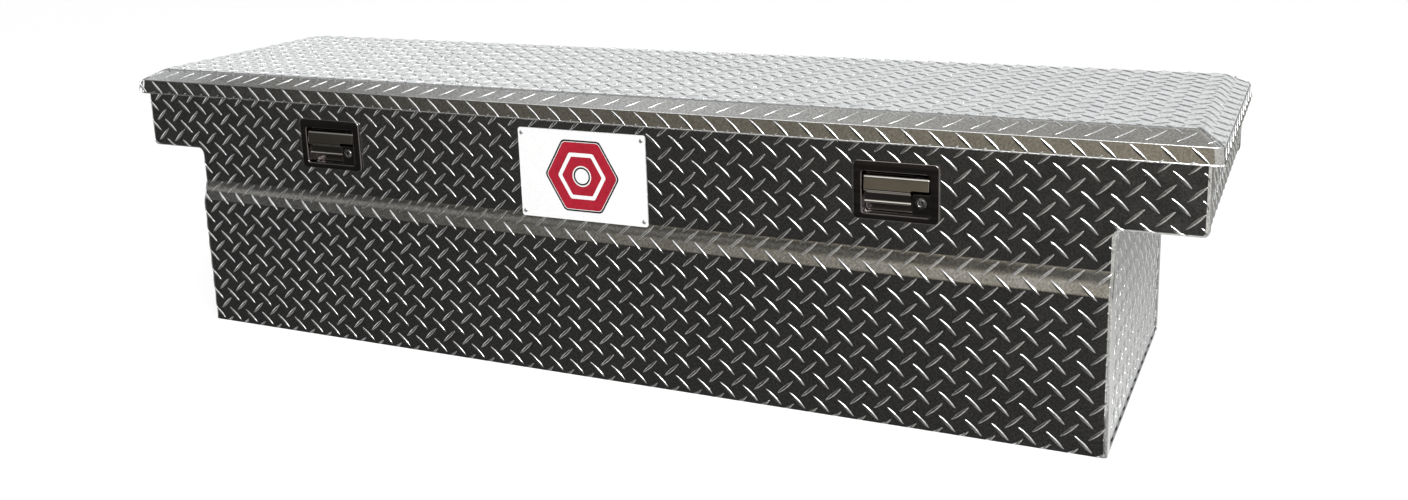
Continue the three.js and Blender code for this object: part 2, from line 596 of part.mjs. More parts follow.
for (const [side, sign] of SIDES) {
  const x = sign * STRUT_X;
  const eye = (stud) => rodX(EYE, x - EYE_HALF, x + EYE_HALF, stud.y, stud.z, 20);
  const eyeHole = (stud) => rodX(STUD + EYE_AIR, -FAR, FAR, stud.y, stud.z, 20);

  const fromBin = (radius, from, to, sides) => rodFrom(
    STRUT_BODY_STUD, strutAngle, radius, from, to, x, sides,
  );
  const tube = unite(
    eye(STRUT_BODY_STUD), fromBin(NECK.radius, NECK.from, NECK.to),
    fromBin(TUBE.radius, TUBE.from, STRUT_TUBE_END, 20),
  );
  place(`strut_tube_${side}`, cut(
    tube, eyeHole(STRUT_BODY_STUD),
    fromBin(TUBE.radius - TUBE.wall, TUBE.inside, STRUT_TUBE_END - GLAND.depth),
    fromBin(ROD + GLAND.air, STRUT_TUBE_END - GLAND.depth - 1, STRUT_TUBE_END + 1),
  ), black);

  const fromLid = (radius, from, to) => rodFrom(STRUT_LID_STUD, strutAngle + Math.PI, radius, from, to, x);
  place(`strut_rod_${side}`, cut(
    unite(
      eye(STRUT_LID_STUD), fromLid(ROD, NECK.from, STRUT_ROD),
      fromLid(PISTON.radius, STRUT_ROD - PISTON.length, STRUT_ROD),
    ),
    eyeHole(STRUT_LID_STUD),
  ), steel);

  const wall = bin - wallInset - SHEET - GAP;
  const studTo = (end, { y, z }) => [
    handedRodX(sign, STUD, STRUT_X - STUD_END, end, y, z),
    handedRodX(sign, STUD + STUD_HEAD, STRUT_X - STUD_END, STRUT_X - STUD_END + STUD_HEAD, y, z),
  ];
  const body = STRUT_BODY_STUD;
  place(`strut_bracket_body_${side}`, unite(
    handedBlock(
      sign, wall - BIN_PLATE.sheet, wall, body.y - BIN_PLATE.halfWidth, body.y + BIN_PLATE.halfWidth,
      body.z - BIN_PLATE.halfHeight, body.z + BIN_PLATE.halfHeight,
    ),
    ...studTo(wall - 1, body),
  ), steel);

  const lid = STRUT_LID_STUD;
  const foot = PAN_BOTTOM - GAP;
  const plate = STRUT_X + LID_PLATE.offset;
  const [front, rear] = [lid.y - LID_PLATE.half, lid.y + LID_PLATE.half];
  place(`strut_bracket_lid_${side}`, unite(
    handedBlock(sign, plate, plate + LID_PLATE.sheet, front, rear, lid.z - LID_PLATE.drop, foot),
    handedBlock(
      sign, plate - LID_PLATE.flange, plate + LID_PLATE.sheet, front, rear, foot - LID_PLATE.foot, foot,
    ),
    ...studTo(plate + 1, lid),
  ), steel);
}

export default box;
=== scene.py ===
"""Crossover truck tool box: looks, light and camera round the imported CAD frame.

Blender works in metres. The builders below work in millimetres, in the same frame, and scale once
when a mesh is made.
"""
import json
import math

import bmesh
import bpy
import numpy as np
from mathutils import Matrix, Vector
from mathutils.geometry import delaunay_2d_cdt

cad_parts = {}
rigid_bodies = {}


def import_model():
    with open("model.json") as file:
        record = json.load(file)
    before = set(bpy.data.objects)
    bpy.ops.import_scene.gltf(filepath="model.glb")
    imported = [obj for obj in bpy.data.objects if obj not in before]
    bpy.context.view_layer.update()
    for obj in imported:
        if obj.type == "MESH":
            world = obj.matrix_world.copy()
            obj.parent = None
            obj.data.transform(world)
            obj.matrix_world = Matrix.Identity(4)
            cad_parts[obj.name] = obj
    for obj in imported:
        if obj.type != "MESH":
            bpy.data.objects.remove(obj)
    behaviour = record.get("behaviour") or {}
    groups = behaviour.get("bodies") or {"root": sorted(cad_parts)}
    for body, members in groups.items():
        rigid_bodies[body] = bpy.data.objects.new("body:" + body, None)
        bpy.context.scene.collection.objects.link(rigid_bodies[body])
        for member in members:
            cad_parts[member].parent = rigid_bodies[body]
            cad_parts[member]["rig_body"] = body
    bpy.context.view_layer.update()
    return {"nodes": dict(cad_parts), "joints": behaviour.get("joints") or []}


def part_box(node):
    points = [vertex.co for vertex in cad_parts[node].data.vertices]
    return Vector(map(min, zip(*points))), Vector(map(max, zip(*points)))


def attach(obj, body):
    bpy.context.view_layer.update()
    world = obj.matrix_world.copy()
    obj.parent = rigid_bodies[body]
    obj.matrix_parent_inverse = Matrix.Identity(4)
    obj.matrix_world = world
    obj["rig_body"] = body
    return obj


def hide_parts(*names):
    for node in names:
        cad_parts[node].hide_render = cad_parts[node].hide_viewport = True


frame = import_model()

MM = 0.001
GAP = 0.3  # air that the CAD keeps between touching pieces
SHEET = 2.0

# Bends and lines of the tread plate sheets
EDGE_BEND = 5.0  # outer radius where a front or rear edge wraps round
FLANGE_DEPTH = 14.0
LEDGE_BOTTOM, LEDGE_TOP = 219.0, 245.0
WING_BOTTOM = 305.0
NOTCH_FILLET = 10.0
WING_CORNER = 8.0
SHARP_BEND, WIDE_BEND = 3.5, 80.0  # the ledge's lower and upper bends
RIM_BEND = 4.0
RAIL_BENDS = (5.0, 2.5, 3.0)

# The latch dish: its sides from the latch's middle, its bottom and its top
DISH = (-48.0, 47.0, 300.0, 359.0)
DISH_ROOM = 3.5  # the sheet's and the gasket's holes are this much larger

# Tread lugs
LUG_PITCH_U, LUG_PITCH_V = 36.3, 34.8
LUG_LENGTH, LUG_WIDTH, LUG_HEIGHT = 32.5, 5.2, 1.1
LUG_ANGLE = math.radians(42)
LUG_SINK = 0.12
LUG_REACH = 2.0  # how far lugs run on past the flat field into an end's bend
LUG_RIM = 0.6  # what stays free of lugs along a sheet's cut edge
LUG_OVERHANG = 9.0  # how far past an edge a lug's middle may lie
SHELF_OVERHANG = 14.0  # the same under a wing
# Where each field's lattice starts, in its own flat pattern
FRONT_LOW_LUGS, FRONT_HIGH_LUGS, REAR_LUGS, END_LUGS = (7.6, 14.7), (5.0, 31.2), (8.0, 14.0), (4.0, 12.0)

TINY = 1e-6

SIDES = (("left", -1), ("right", 1))


def span(node):
    """A CAD node's lowest and highest corner in millimetres."""
    low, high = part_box(node)
    return np.array(low) / MM, np.array(high) / MM


def grow(box, by):
    """A box (low, high, low, high), larger by the same distance on each side."""
    return box[0] - by, box[1] + by, box[2] - by, box[3] + by


def dish_box(x, room=0.0):
    """The box of the latch dish whose latch is at x."""
    return grow((x + DISH[0], x + DISH[1], DISH[2], DISH[3]), room)


front_low, front_high = span("front_panel")
rear_low, rear_high = span("rear_panel")
lid_low, lid_high = span("lid_shell")
WING = front_high[0]
BIN = span("floor_panel")[1][0] + GAP
BIN_FRONT = front_low[1]
REAR = rear_high[1]
RIM = front_high[2]
RIM_FLANGE = 18.0
FRONT = front_high[1] - RIM_FLANGE
FLANGE_END = FRONT + FLANGE_DEPTH
RAIL_TOP = 396.0
RISER = rear_low[1] + RIM_FLANGE
WALL_INSET = SHEET + GAP


# ------------------------------------------------------------------ mesh building
class Shell:
    """Points and faces of one piece, in millimetres, gathered part by part."""

    def __init__(self):
        self.points, self.faces, self.smooth = [], [], []
        self.count = 0

    def add(self, points, faces, smooth=False):
        points = np.asarray(points, float).reshape(-1, 3)
        base = self.count
        self.points.append(points)
        self.count += len(points)
        self.faces += [[base + i for i in face] for face in faces]
        self.smooth += [smooth] * len(faces)

    def make(self, name, look, body, replaced, slot):
        """Makes the piece, gives it its material, and rides it on its body. Its slot argument is not used."""
        mesh = bpy.data.meshes.new(name)
        mesh.from_pydata((np.concatenate(self.points) * MM).tolist(), [], self.faces)
        mesh.polygons.foreach_set("use_smooth", self.smooth)
        mesh.update()
        mesh.materials.append(look)
        piece = bpy.data.objects.new(name, mesh)
        bpy.context.scene.collection.objects.link(piece)
        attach(piece, body)
        if replaced:
            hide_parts(*replaced)
        return piece


def thicken(shell, outer, inner, faces, bent):
    """Closes a sheet with its inner side and a strip round each edge. Faces of a bend are smooth."""
    count = len(outer)
    corners = outer[[face[:3] for face in faces]]
    normals = np.cross(corners[:, 1] - corners[:, 0], corners[:, 2] - corners[:, 0])
    if np.sum(normals * (outer - inner)[[face[0] for face in faces]]) < 0:
        faces = [face[::-1] for face in faces]
    edges = {}
    for face in faces:
        for a, b in zip(face, face[1:] + face[:1]):
            edges[(a, b)] = edges.get((a, b), 0) + 1
    rims = [(a, b) for a, b in edges if (b, a) not in edges]
    shell.add(
        np.concatenate([outer, inner]), faces + [[count + i for i in face[::-1]] for face in faces]
    )
    shell.smooth[-2 * len(faces):] = list(bent) * 2
    base = shell.count - 2 * count
    for a, b in rims:
        shell.faces.append([base + b, base + a, base + count + a, base + count + b])
        shell.smooth.append(False)


class Profile:
    """A bent line of straight runs and arcs, measured along its length. turn is 1 when its outer face
    is on the left of the way it runs, and -1 when it is on the right."""

    def __init__(self, points, radii, turn):
        self.turn = turn
        self.runs = []  # (start, point, angle, curvature)
        points = [np.array(p, float) for p in points]
        angles = [math.atan2(*(b - a)[::-1]) for a, b in zip(points, points[1:])]
        at, start = points[0], 0.0
        for i, angle in enumerate(angles):
            last = i == len(angles) - 1
            bend = 0.0 if last else (angles[i + 1] - angle + math.pi) % (2 * math.pi) - math.pi
            radius = 0.0 if last else radii[i]
            trim = radius * math.tan(abs(bend) / 2)
            length = np.linalg.norm(points[i + 1] - at) - trim
            self.runs.append((start, at, angle, 0.0))
            direction = np.array([math.cos(angle), math.sin(angle)])
            start, at = start + length, at + direction * length
            if not last:
                self.runs.append((start, at, angle, math.copysign(1 / radius, bend)))
                start += radius * abs(bend)
                after = np.array([math.cos(angles[i + 1]), math.sin(angles[i + 1])])
                at = points[i + 1] + after * trim
        self.length = start

    def at(self, v):
        """Points, directions and outward normals at distances along the profile."""
        v = np.asarray(v, float)
        point, heading = np.zeros(v.shape + (2,)), np.zeros(v.shape)
        for i, (start, at, angle, curve) in enumerate(self.runs):
            end = self.runs[i + 1][0] if i + 1 < len(self.runs) else math.inf
            here = (v >= (start if i else -math.inf)) & (v < end)
            t = v[here] - start
            if curve:
                turned = angle + curve * t
                point[here] = at + np.stack(
                    [np.sin(turned) - math.sin(angle), math.cos(angle) - np.cos(turned)], -1
                ) / curve
                heading[here] = turned
            else:
                point[here] = at + t[:, None] * np.array([math.cos(angle), math.sin(angle)])
                heading[here] = angle
        direction = np.stack([np.cos(heading), np.sin(heading)], -1)
        normal = self.turn * np.stack([-np.sin(heading), np.cos(heading)], -1)
        return point, direction, normal

    def bends(self, step=math.radians(12)):
        """Distances at which the profile's arcs are divided."""
        marks = []
        for (start, _, _, curve), (end, *_) in zip(self.runs, self.runs[1:]):
            if curve:
                pieces = max(2, math.ceil(abs(curve) * (end - start) / step))
                marks += [start + (end - start) * k / pieces for k in range(pieces + 1)]
        return marks

    def where(self, axis, value, low=0.0, high=None):
        """The distance at which a coordinate, which grows along this stretch, takes a value."""
        marks = np.linspace(low, self.length if high is None else high, 4000)
        return float(np.interp(value, self.at(marks)[0][:, axis], marks))


def in_bends(profile, flat, faces):
    """Which faces of a flat pattern lie in one of the profile's bends."""
    middles = np.array([flat[face].mean(0)[1] for face in faces])
    found = np.zeros(len(faces), bool)
    for (start, _, _, curve), (end, *_) in zip(profile.runs, profile.runs[1:]):
        found |= (curve != 0) & (middles > start) & (middles < end)
    return [bool(one) for one in found]


def inside(points, loop):
    """Which points lie inside a closed loop."""
    x, y = points[:, 0], points[:, 1]
    hit = np.zeros(len(points), bool)
    for (x0, y0), (x1, y1) in zip(loop, np.roll(loop, -1, axis=0)):
        if y0 != y1:
            crosses = (y0 > y) != (y1 > y)
            hit ^= crosses & (x < (x1 - x0) * (y - y0) / (y1 - y0) + x0)
    return hit


def triangulate(loops, levels):
    """Triangles inside the first loop and outside the others, divided along lines of constant v."""
    points, edges = [], []
    for loop in loops:
        base = len(points)
        points += [tuple(p) for p in loop]
        edges += [(base + i, base + (i + 1) % len(loop)) for i in range(len(loop))]
    outline = np.array(loops[0], float)
    low, high = outline.min(0), outline.max(0)
    for v in levels:
        if low[1] + 1e-6 < v < high[1] - 1e-6:
            points += [(low[0] - 1, v), (high[0] + 1, v)]
            edges.append((len(points) - 2, len(points) - 1))
    made = delaunay_2d_cdt([Vector(p) for p in points], edges, [], 0, 1e-5)
    flat = np.array([tuple(p) for p in made[0]], float)
    faces = [list(face) for face in made[2]]
    middles = np.array([flat[face].mean(0) for face in faces])
    keep = inside(middles, outline)
    for hole in loops[1:]:
        keep &= ~inside(middles, np.array(hole, float))
    return flat, [face for face, kept in zip(faces, keep) if kept]


def arc(centre, radius, start, end, steps):
    """Points on an arc, angles in degrees."""
    angles = np.radians(np.linspace(start, end, steps + 1))
    return [(centre[0] + radius * math.cos(a), centre[1] + radius * math.sin(a)) for a in angles]


def rectangle(u0, u1, v0, v1):
    return [(u0, v0), (u1, v0), (u1, v1), (u0, v1)]


# ------------------------------------------------------------------ tread lugs
def lug_template():
    """One lug about the origin, long in x and high in z: points, faces and the outline of its foot."""
    stations = [-0.92, -0.72, -0.38, 0.0, 0.38, 0.72, 0.92]
    across = [-1.0, -0.62, 0.0, 0.62, 1.0]
    plan_power, height_power = 0.8, 0.65
    points = [(-LUG_LENGTH / 2, 0.0, -LUG_SINK)]
    for s in stations:
        width = LUG_WIDTH / 2 * (1 - s * s) ** plan_power
        height = LUG_HEIGHT * (1 - s * s) ** height_power
        for c in across:
            points.append((s * LUG_LENGTH / 2, c * width, -LUG_SINK + (height + LUG_SINK) * (1 - c * c)))
    points.append((LUG_LENGTH / 2, 0.0, -LUG_SINK))
    rows, n = len(stations), len(across)
    last = len(points) - 1

    def at(i, j):
        return 1 + i * n + j

    faces = [[0, at(0, j + 1), at(0, j)] for j in range(n - 1)]
    for i in range(rows - 1):
        faces += [[at(i, j), at(i, j + 1), at(i + 1, j + 1), at(i + 1, j)] for j in range(n - 1)]
    faces += [[at(rows - 1, j), at(rows - 1, j + 1), last] for j in range(n - 1)]
    faces = [face[::-1] for face in faces]
    under = [0] + [at(i, n - 1) for i in range(rows)] + [last] + [at(i, 0) for i in reversed(range(rows))]
    return np.array(points), faces, under


LUG_POINTS, LUG_FACES, LUG_UNDER = lug_template()


def lug_lattice(u_range, v_range, origin):
    """Centres and angles of all lugs in a field: two crossed sets, half a pitch apart."""
    centres, angles = [], []
    for half, angle in ((0.0, -LUG_ANGLE), (0.5, LUG_ANGLE)):
        steps_u, steps_v = (
            range(math.floor((low - start) / pitch) - 1, math.ceil((high - start) / pitch) + 2)
            for (low, high), start, pitch in zip((u_range, v_range), origin, (LUG_PITCH_U, LUG_PITCH_V))
        )
        for j in steps_v:
            for i in steps_u:
                u, v = origin[0] + (i + half) * LUG_PITCH_U, origin[1] + (j + half) * LUG_PITCH_V
                centres.append((u, v))
                angles.append(angle)
    return np.array(centres), np.array(angles)


def lug_fields(centres, angles):
    """Each lug's points in the flat pattern: arrays of u, v and height, one row per lug."""
    c, s = np.cos(angles)[:, None], np.sin(angles)[:, None]
    u = centres[:, :1] + c * LUG_POINTS[None, :, 0] - s * LUG_POINTS[None, :, 1]
    v = centres[:, 1:] + s * LUG_POINTS[None, :, 0] + c * LUG_POINTS[None, :, 1]
    return u, v, np.broadcast_to(LUG_POINTS[None, :, 2], u.shape)


def add_lugs(shell, points):
    """Adds lugs whose points are already in place: an array of lugs by points by xyz."""
    faces, under, size = [], [], len(LUG_POINTS)
    for k in range(len(points)):
        faces += [[k * size + i for i in face] for face in LUG_FACES]
        under.append([k * size + i for i in LUG_UNDER])
    base = shell.count
    shell.add(points, faces, True)
    shell.faces += [[base + i for i in face] for face in under]
    shell.smooth += [False] * len(under)


# ------------------------------------------------------------------ materials
class Nodes:
    """Short calls for one material's node tree."""

    def __init__(self, name):
        self.material = bpy.data.materials.new(name)
        self.material.use_nodes = True
        self.tree = self.material.node_tree
        self.shader = self.tree.nodes["Principled BSDF"]
        self.place = self.new("ShaderNodeTexCoord").outputs["Object"]

    def new(self, kind):
        return self.tree.nodes.new(kind)

    def join(self, source, target):
        self.tree.links.new(source, target)

    def set(self, **values):
        for key, value in values.items():
            self.shader.inputs[key.replace("_", " ")].default_value = value

    def noise(self, scale, detail, stretch=(1, 1, 1), roughness=0.5):
        mapping = self.new("ShaderNodeMapping")
        mapping.inputs["Scale"].default_value = stretch
        self.join(self.place, mapping.inputs["Vector"])
        node = self.new("ShaderNodeTexNoise")
        node.inputs["Scale"].default_value = scale
        node.inputs["Detail"].default_value = detail
        node.inputs["Roughness"].default_value = roughness
        self.join(mapping.outputs["Vector"], node.inputs["Vector"])
        return node.outputs["Fac"]

    def range(self, source, low, high):
        """A noise's usual values, 0.3 to 0.7, spread from low to high."""
        node = self.new("ShaderNodeMapRange")
        for key, value in (("From Min", 0.3), ("From Max", 0.7), ("To Min", low), ("To Max", high)):
            node.inputs[key].default_value = value
        self.join(source, node.inputs["Value"])
        return node.outputs["Result"]

    def ramp(self, source, stops):
        node = self.new("ShaderNodeValToRGB")
        elements = node.color_ramp.elements
        while len(elements) < len(stops):
            elements.new(0.5)
        for element, (position, color) in zip(elements, stops):
            element.position, element.color = position, (*color, 1)
        self.join(source, node.inputs["Fac"])
        return node.outputs["Color"]

    def sum(self, a, b, share):
        """Two noises added, with share of the second."""
        node = self.new("ShaderNodeMix")
        node.inputs["Factor"].default_value = share
        self.join(a, node.inputs["A"])
        self.join(b, node.inputs["B"])
        return node.outputs["Result"]

    def bump(self, source, distance, strength, under=None):
        node = self.new("ShaderNodeBump")
        node.inputs["Strength"].default_value = strength
        node.inputs["Distance"].default_value = distance
        self.join(source, node.inputs["Height"])
        if under:
            self.join(under, node.inputs["Normal"])
        return node.outputs["Normal"]

    def finish(self, color, roughness, normal):
        for key, source in (("Base Color", color), ("Roughness", roughness), ("Normal", normal)):
            self.join(source, self.shader.inputs[key])
        return self.material


SPECKLE = 330.0  # scale of the mill finish's grain, about 3 mm


def tread_metal(name, light, dark, rough, waviness):
    n = Nodes(name)
    n.set(Metallic=1.0)
    clouds = n.sum(n.noise(14, 5), n.noise(SPECKLE, 2), 0.8)
    color = n.ramp(clouds, [(0.34, dark), (0.66, light)])
    smudge = n.noise(26, 6, roughness=0.6)
    roughness = n.range(smudge, *rough)
    waves = n.bump(n.noise(7, 2), waviness, 1.0)
    grain = n.bump(n.noise(900, 2, stretch=(0.12, 1, 1)), 0.00002, 0.5, waves)
    return n.finish(color, roughness, grain)


def brushed_metal(name, color, rough, scale=500, stretch=(0.03, 1, 1)):
    n = Nodes(name)
    n.set(Metallic=1.0)
    streaks = n.noise(scale, 3, stretch=stretch)
    dark = tuple(c * 0.86 for c in color)
    tint = n.ramp(n.noise(30, 4), [(0.3, dark), (0.7, color)])
    return n.finish(tint, n.range(streaks, *rough), n.bump(streaks, 0.00004, 0.4))


def coated(name, color, rough, peel=0.00002, coat=0.0, mottle=1.25):
    n = Nodes(name)
    n.set(Coat_Weight=coat, Coat_Roughness=0.08)
    light = tuple(min(1, c * mottle) for c in color)
    tint = n.ramp(n.noise(60, 5), [(0.35, color), (0.75, light)])
    roughness = n.range(n.noise(140, 5), *rough)
    return n.finish(tint, roughness, n.bump(n.noise(1400, 2), peel, 0.6))


tread = tread_metal("tread_plate", (0.93, 0.93, 0.93), (0.6, 0.6, 0.61), (0.09, 0.16), 0.0003)
mill = brushed_metal("mill_aluminium", (0.72, 0.73, 0.74), (0.4, 0.5))
steel = brushed_metal("zinc_steel", (0.62, 0.62, 0.63), (0.25, 0.38), 300, (1, 1, 0.1))
chrome = brushed_metal("chrome", (0.85, 0.85, 0.86), (0.04, 0.12), 200)
lock_metal = brushed_metal("lock_metal", (0.45, 0.45, 0.46), (0.12, 0.25), 200)
gloss_black = coated("gloss_black", (0.008, 0.008, 0.009), (0.12, 0.22), coat=0.3)
satin_black = coated("satin_black", (0.010, 0.010, 0.011), (0.3, 0.42), 0.00004)
dark_chrome = brushed_metal("dark_chrome", (0.5, 0.47, 0.44), (0.06, 0.14), 200)
black_chrome = brushed_metal("black_chrome", (0.24, 0.22, 0.22), (0.12, 0.22), 200)
rubber = coated("rubber", (0.018, 0.018, 0.018), (0.75, 0.9), 0.00012)
white_enamel = coated("white_enamel", (0.72, 0.72, 0.72), (0.25, 0.3), 0.000005, mottle=1.02)
crimson = coated("crimson_print", (0.30, 0.006, 0.02), (0.25, 0.35), 0.00001)
ink = coated("black_print", (0.012, 0.012, 0.012), (0.3, 0.4), 0.00001)


# ------------------------------------------------------------------ front and rear sheets
class WrappedSheet:
    """A front or rear sheet: bent along its profile, with its ends and wing undersides wrapped round.

    u runs along X and v along the profile from the bottom edge. The flat field stops EDGE_BEND short of
    the outline, and what lies beyond that wraps round the edge and turns inward.
    """

    def __init__(self, profile, inward, flange_end, top):
        self.profile, self.inward, self.flange_end = profile, inward, flange_end
        self.top = top
        self.low_u = BIN - EDGE_BEND
        self.high_u = WING - EDGE_BEND
        self.shelf_v = self.v(WING_BOTTOM + EDGE_BEND)
        rise = WING_BOTTOM - NOTCH_FILLET
        self.notch = (BIN + NOTCH_FILLET, self.v(rise))
        self.notch_radius = NOTCH_FILLET + EDGE_BEND
        corner = WING_CORNER - EDGE_BEND
        self.corner = (self.high_u - corner, self.shelf_v + corner)
        self.corner_radius = corner

    def v(self, z):
        """The distance along the profile at a height."""
        return self.profile.where(1, z)

    def outline(self):
        right = [(self.low_u, 0.0)]
        right += arc(self.notch, self.notch_radius, 180, 90, 7)
        right += arc(self.corner, self.corner_radius, -90, 0, 5)
        right.append((self.high_u, self.top))
        return right + [(-u, v) for u, v in reversed(right)]

    def beyond(self, u, v):
        """For pattern points: the nearest point of the flat field, the way out and how far out."""
        side, a = np.where(u < 0, -1.0, 1.0), np.abs(u)
        base_u, base_v = a.copy(), v.copy()
        du, dv, t = np.zeros_like(a), np.zeros_like(a), np.zeros_like(a)

        low = (v <= self.notch[1]) & (a > self.low_u)
        base_u[low], du[low], t[low] = self.low_u, 1, a[low] - self.low_u

        in_notch = (v > self.notch[1]) & (a < self.notch[0])
        off_u, off_v = self.notch[0] - a, self.notch[1] - v
        far = np.hypot(off_u, off_v)
        round_in = in_notch & (v < self.shelf_v) & (far < self.notch_radius) & (a > self.low_u)
        safe = np.maximum(far, 1e-6)
        for target, value in ((du, off_u / safe), (dv, off_v / safe)):
            target[round_in] = value[round_in]
        t[round_in] = np.minimum(self.notch_radius - far, self.notch_radius - 1)[round_in]
        base_u[round_in] = (self.notch[0] - off_u / safe * self.notch_radius)[round_in]
        base_v[round_in] = (self.notch[1] - off_v / safe * self.notch_radius)[round_in]

        shelf = (a >= self.notch[0]) & (a <= self.corner[0]) & (v < self.shelf_v) & (v > self.notch[1] - 40)
        base_v[shelf], dv[shelf], t[shelf] = self.shelf_v, -1, (self.shelf_v - v)[shelf]

        off_u, off_v = a - self.corner[0], v - self.corner[1]
        far = np.maximum(np.hypot(off_u, off_v), 1e-6)
        round_out = (off_u > 0) & (off_v < 0) & (far > self.corner_radius)
        for target, value in ((du, off_u / far), (dv, off_v / far)):
            target[round_out] = value[round_out]
        t[round_out] = (far - self.corner_radius)[round_out]
        base_u[round_out] = (self.corner[0] + off_u / far * self.corner_radius)[round_out]
        base_v[round_out] = (self.corner[1] + off_v / far * self.corner_radius)[round_out]

        end = (v >= self.corner[1]) & (a > self.high_u)
        base_u[end], du[end], t[end] = self.high_u, 1, a[end] - self.high_u
        return base_u * side, base_v, du * side, dv, t

    def wrap(self, u, v, du, dv, t, h):
        """Points of the real sheet, t beyond the flat field's edge and h above its outer face."""
        point, along, normal = self.profile.at(v)
        zero = np.zeros_like(u)
        spot = np.stack([u, point[..., 0], point[..., 1]], -1)
        face = np.stack([zero, normal[..., 0], normal[..., 1]], -1)
        way = np.stack([du, dv * along[..., 0], dv * along[..., 1]], -1)
        angle = np.clip(t / EDGE_BEND, 0, math.pi / 2)[..., None]
        out = face * np.cos(angle) + way * np.sin(angle)
        spot = spot + way * EDGE_BEND * np.sin(angle) - face * EDGE_BEND * (1 - np.cos(angle))
        spot[..., 1] += self.inward * np.maximum(t - EDGE_BEND * math.pi / 2, 0)
        spot = spot + out * np.asarray(h)[..., None]
        past = self.inward * (spot[..., 1] - self.flange_end) > 0
        spot[..., 1] = np.where(past & (t > 0), self.flange_end, spot[..., 1])
        return spot

    def build(self, holes):
        flat, faces = triangulate([self.outline()] + holes, self.profile.bends())
        bent = in_bends(self.profile, flat, faces)
        edges = set()
        for face in faces:
            edges |= set(zip(face, face[1:] + face[:1]))
        cuts = [grown(hole, 0.5) for hole in holes]
        wrapped = []
        for a, b in edges:
            middle = (flat[a] + flat[b]) / 2
            if (b, a) in edges or self.way_out(middle) is None:
                continue
            if not any(inside(middle[None], cut)[0] for cut in cuts):
                wrapped.append((a, b))
        wrapped.sort()
        used = sorted({i for edge in wrapped for i in edge})
        ways = np.array([self.way_out(flat[i]) for i in used])
        u, v = flat[:, 0], flat[:, 1]
        still = np.zeros(len(u))
        points = [self.wrap(u, v, still, still, still, still)]
        inner = [self.wrap(u, v, still, still, still, still - SHEET)]
        arcs = 7
        steps = [EDGE_BEND * math.pi / 2 * (k + 1) / arcs for k in range(arcs)] + [FLANGE_DEPTH * 2]
        index, count = [{i: i for i in used}], len(flat)
        for step in steps:
            t, none = np.full(len(used), step), np.zeros(len(used))
            for pile, h in ((points, none), (inner, none - SHEET)):
                pile.append(self.wrap(u[used], v[used], ways[:, 0], ways[:, 1], t, h))
            index.append({i: count + n for n, i in enumerate(used)})
            count += len(used)
        for k in range(len(steps)):
            for a, b in wrapped:
                faces.append([index[k][b], index[k][a], index[k + 1][a], index[k + 1][b]])
                bent.append(k < arcs)
        shell = Shell()
        thicken(shell, np.concatenate(points), np.concatenate(inner), faces, bent)
        return shell

    def way_out(self, p):
        """The way out of the flat field at a point of its edge, or None on a cut edge."""
        a, v, side = abs(p[0]), p[1], math.copysign(1, p[0])
        if v < 1e-6 and a < self.low_u - 1e-4 or v > self.top - 1e-6 and a < self.high_u - 1e-4:
            return None
        if v <= self.notch[1] + 1e-6:
            return (side, 0.0)
        if a >= self.high_u - 1e-5 and v >= self.corner[1] - 1e-6:
            return (side, 0.0)
        off = np.array([self.notch[0] - a, self.notch[1] - v])
        if a <= self.notch[0] + 1e-6:
            off = off / np.hypot(*off)
            return (off[0] * side, off[1])
        if a <= self.corner[0] + 1e-6:
            return (0.0, -1.0)
        off = np.array([a - self.corner[0], v - self.corner[1]])
        off = off / max(np.hypot(*off), 1e-9)
        return (off[0] * side, off[1])

    def lugs(self, shell, origin, keep, high_v, holes=()):
        """Adds the lugs of one lattice up to high_v, where keep is true of their middles."""
        low_v = LUG_RIM
        centres, angles = lug_lattice((-WING, WING), (0, high_v), origin)
        a, v = np.abs(centres[:, 0]), centres[:, 1]
        edge = np.where(v < self.notch[1], BIN, WING) + LUG_OVERHANG
        held = (a < edge) & (v > low_v - LUG_OVERHANG) & (v < high_v + LUG_OVERHANG) & keep(centres)
        under_wing = (a > BIN + LUG_OVERHANG) & (v < self.shelf_v - SHELF_OVERHANG)
        held &= ~under_wing
        u, v, h = lug_fields(centres[held], angles[held])
        v = np.clip(v, low_v, high_v)
        for hole in holes:
            u, v = pushed_out(u, v, hole)
        base_u, base_v, du, dv, t = self.beyond(u, v)
        add_lugs(shell, self.wrap(base_u, base_v, du, dv, np.minimum(t, LUG_REACH), h))


def pushed_out(u, v, hole):
    """Pattern points, with those inside a rectangular hole moved to its nearest edge."""
    (u0, v0), (u1, v1) = np.min(hole, 0), np.max(hole, 0)
    depth = np.stack([u - u0, u1 - u, v - v0, v1 - v])
    side = np.where(depth.min(0) > 0, depth.argmin(0), -1)
    u = np.where(side == 0, u0, np.where(side == 1, u1, u))
    return u, np.where(side == 2, v0, np.where(side == 3, v1, v))


def grown(loop, by):
    """A rectangle's loop, grown a little each way."""
    points = np.array(loop, float)
    middle = (points.min(0) + points.max(0)) / 2
    return points + np.sign(points - middle) * by


def around(node, trim):
    """A test for pattern points that are clear of a node's outline on the upper front face."""
    low, high = span(node)

    def clear(sheet, centres):
        u, v = centres[:, 0], centres[:, 1]
        v0, v1 = sheet.v(low[2] + trim), sheet.v(high[2] - trim)
        return ~((u > low[0] + trim) & (u < high[0] - trim) & (v > v0) & (v < v1))
    return clear


def latch_hole(sheet, side):
    low, high = span(f"latch_housing_{side}")
    u0, u1, z0, z1 = dish_box((low[0] + high[0]) / 2, DISH_ROOM)
    return rectangle(u0, u1, sheet.v(z0), sheet.v(z1))


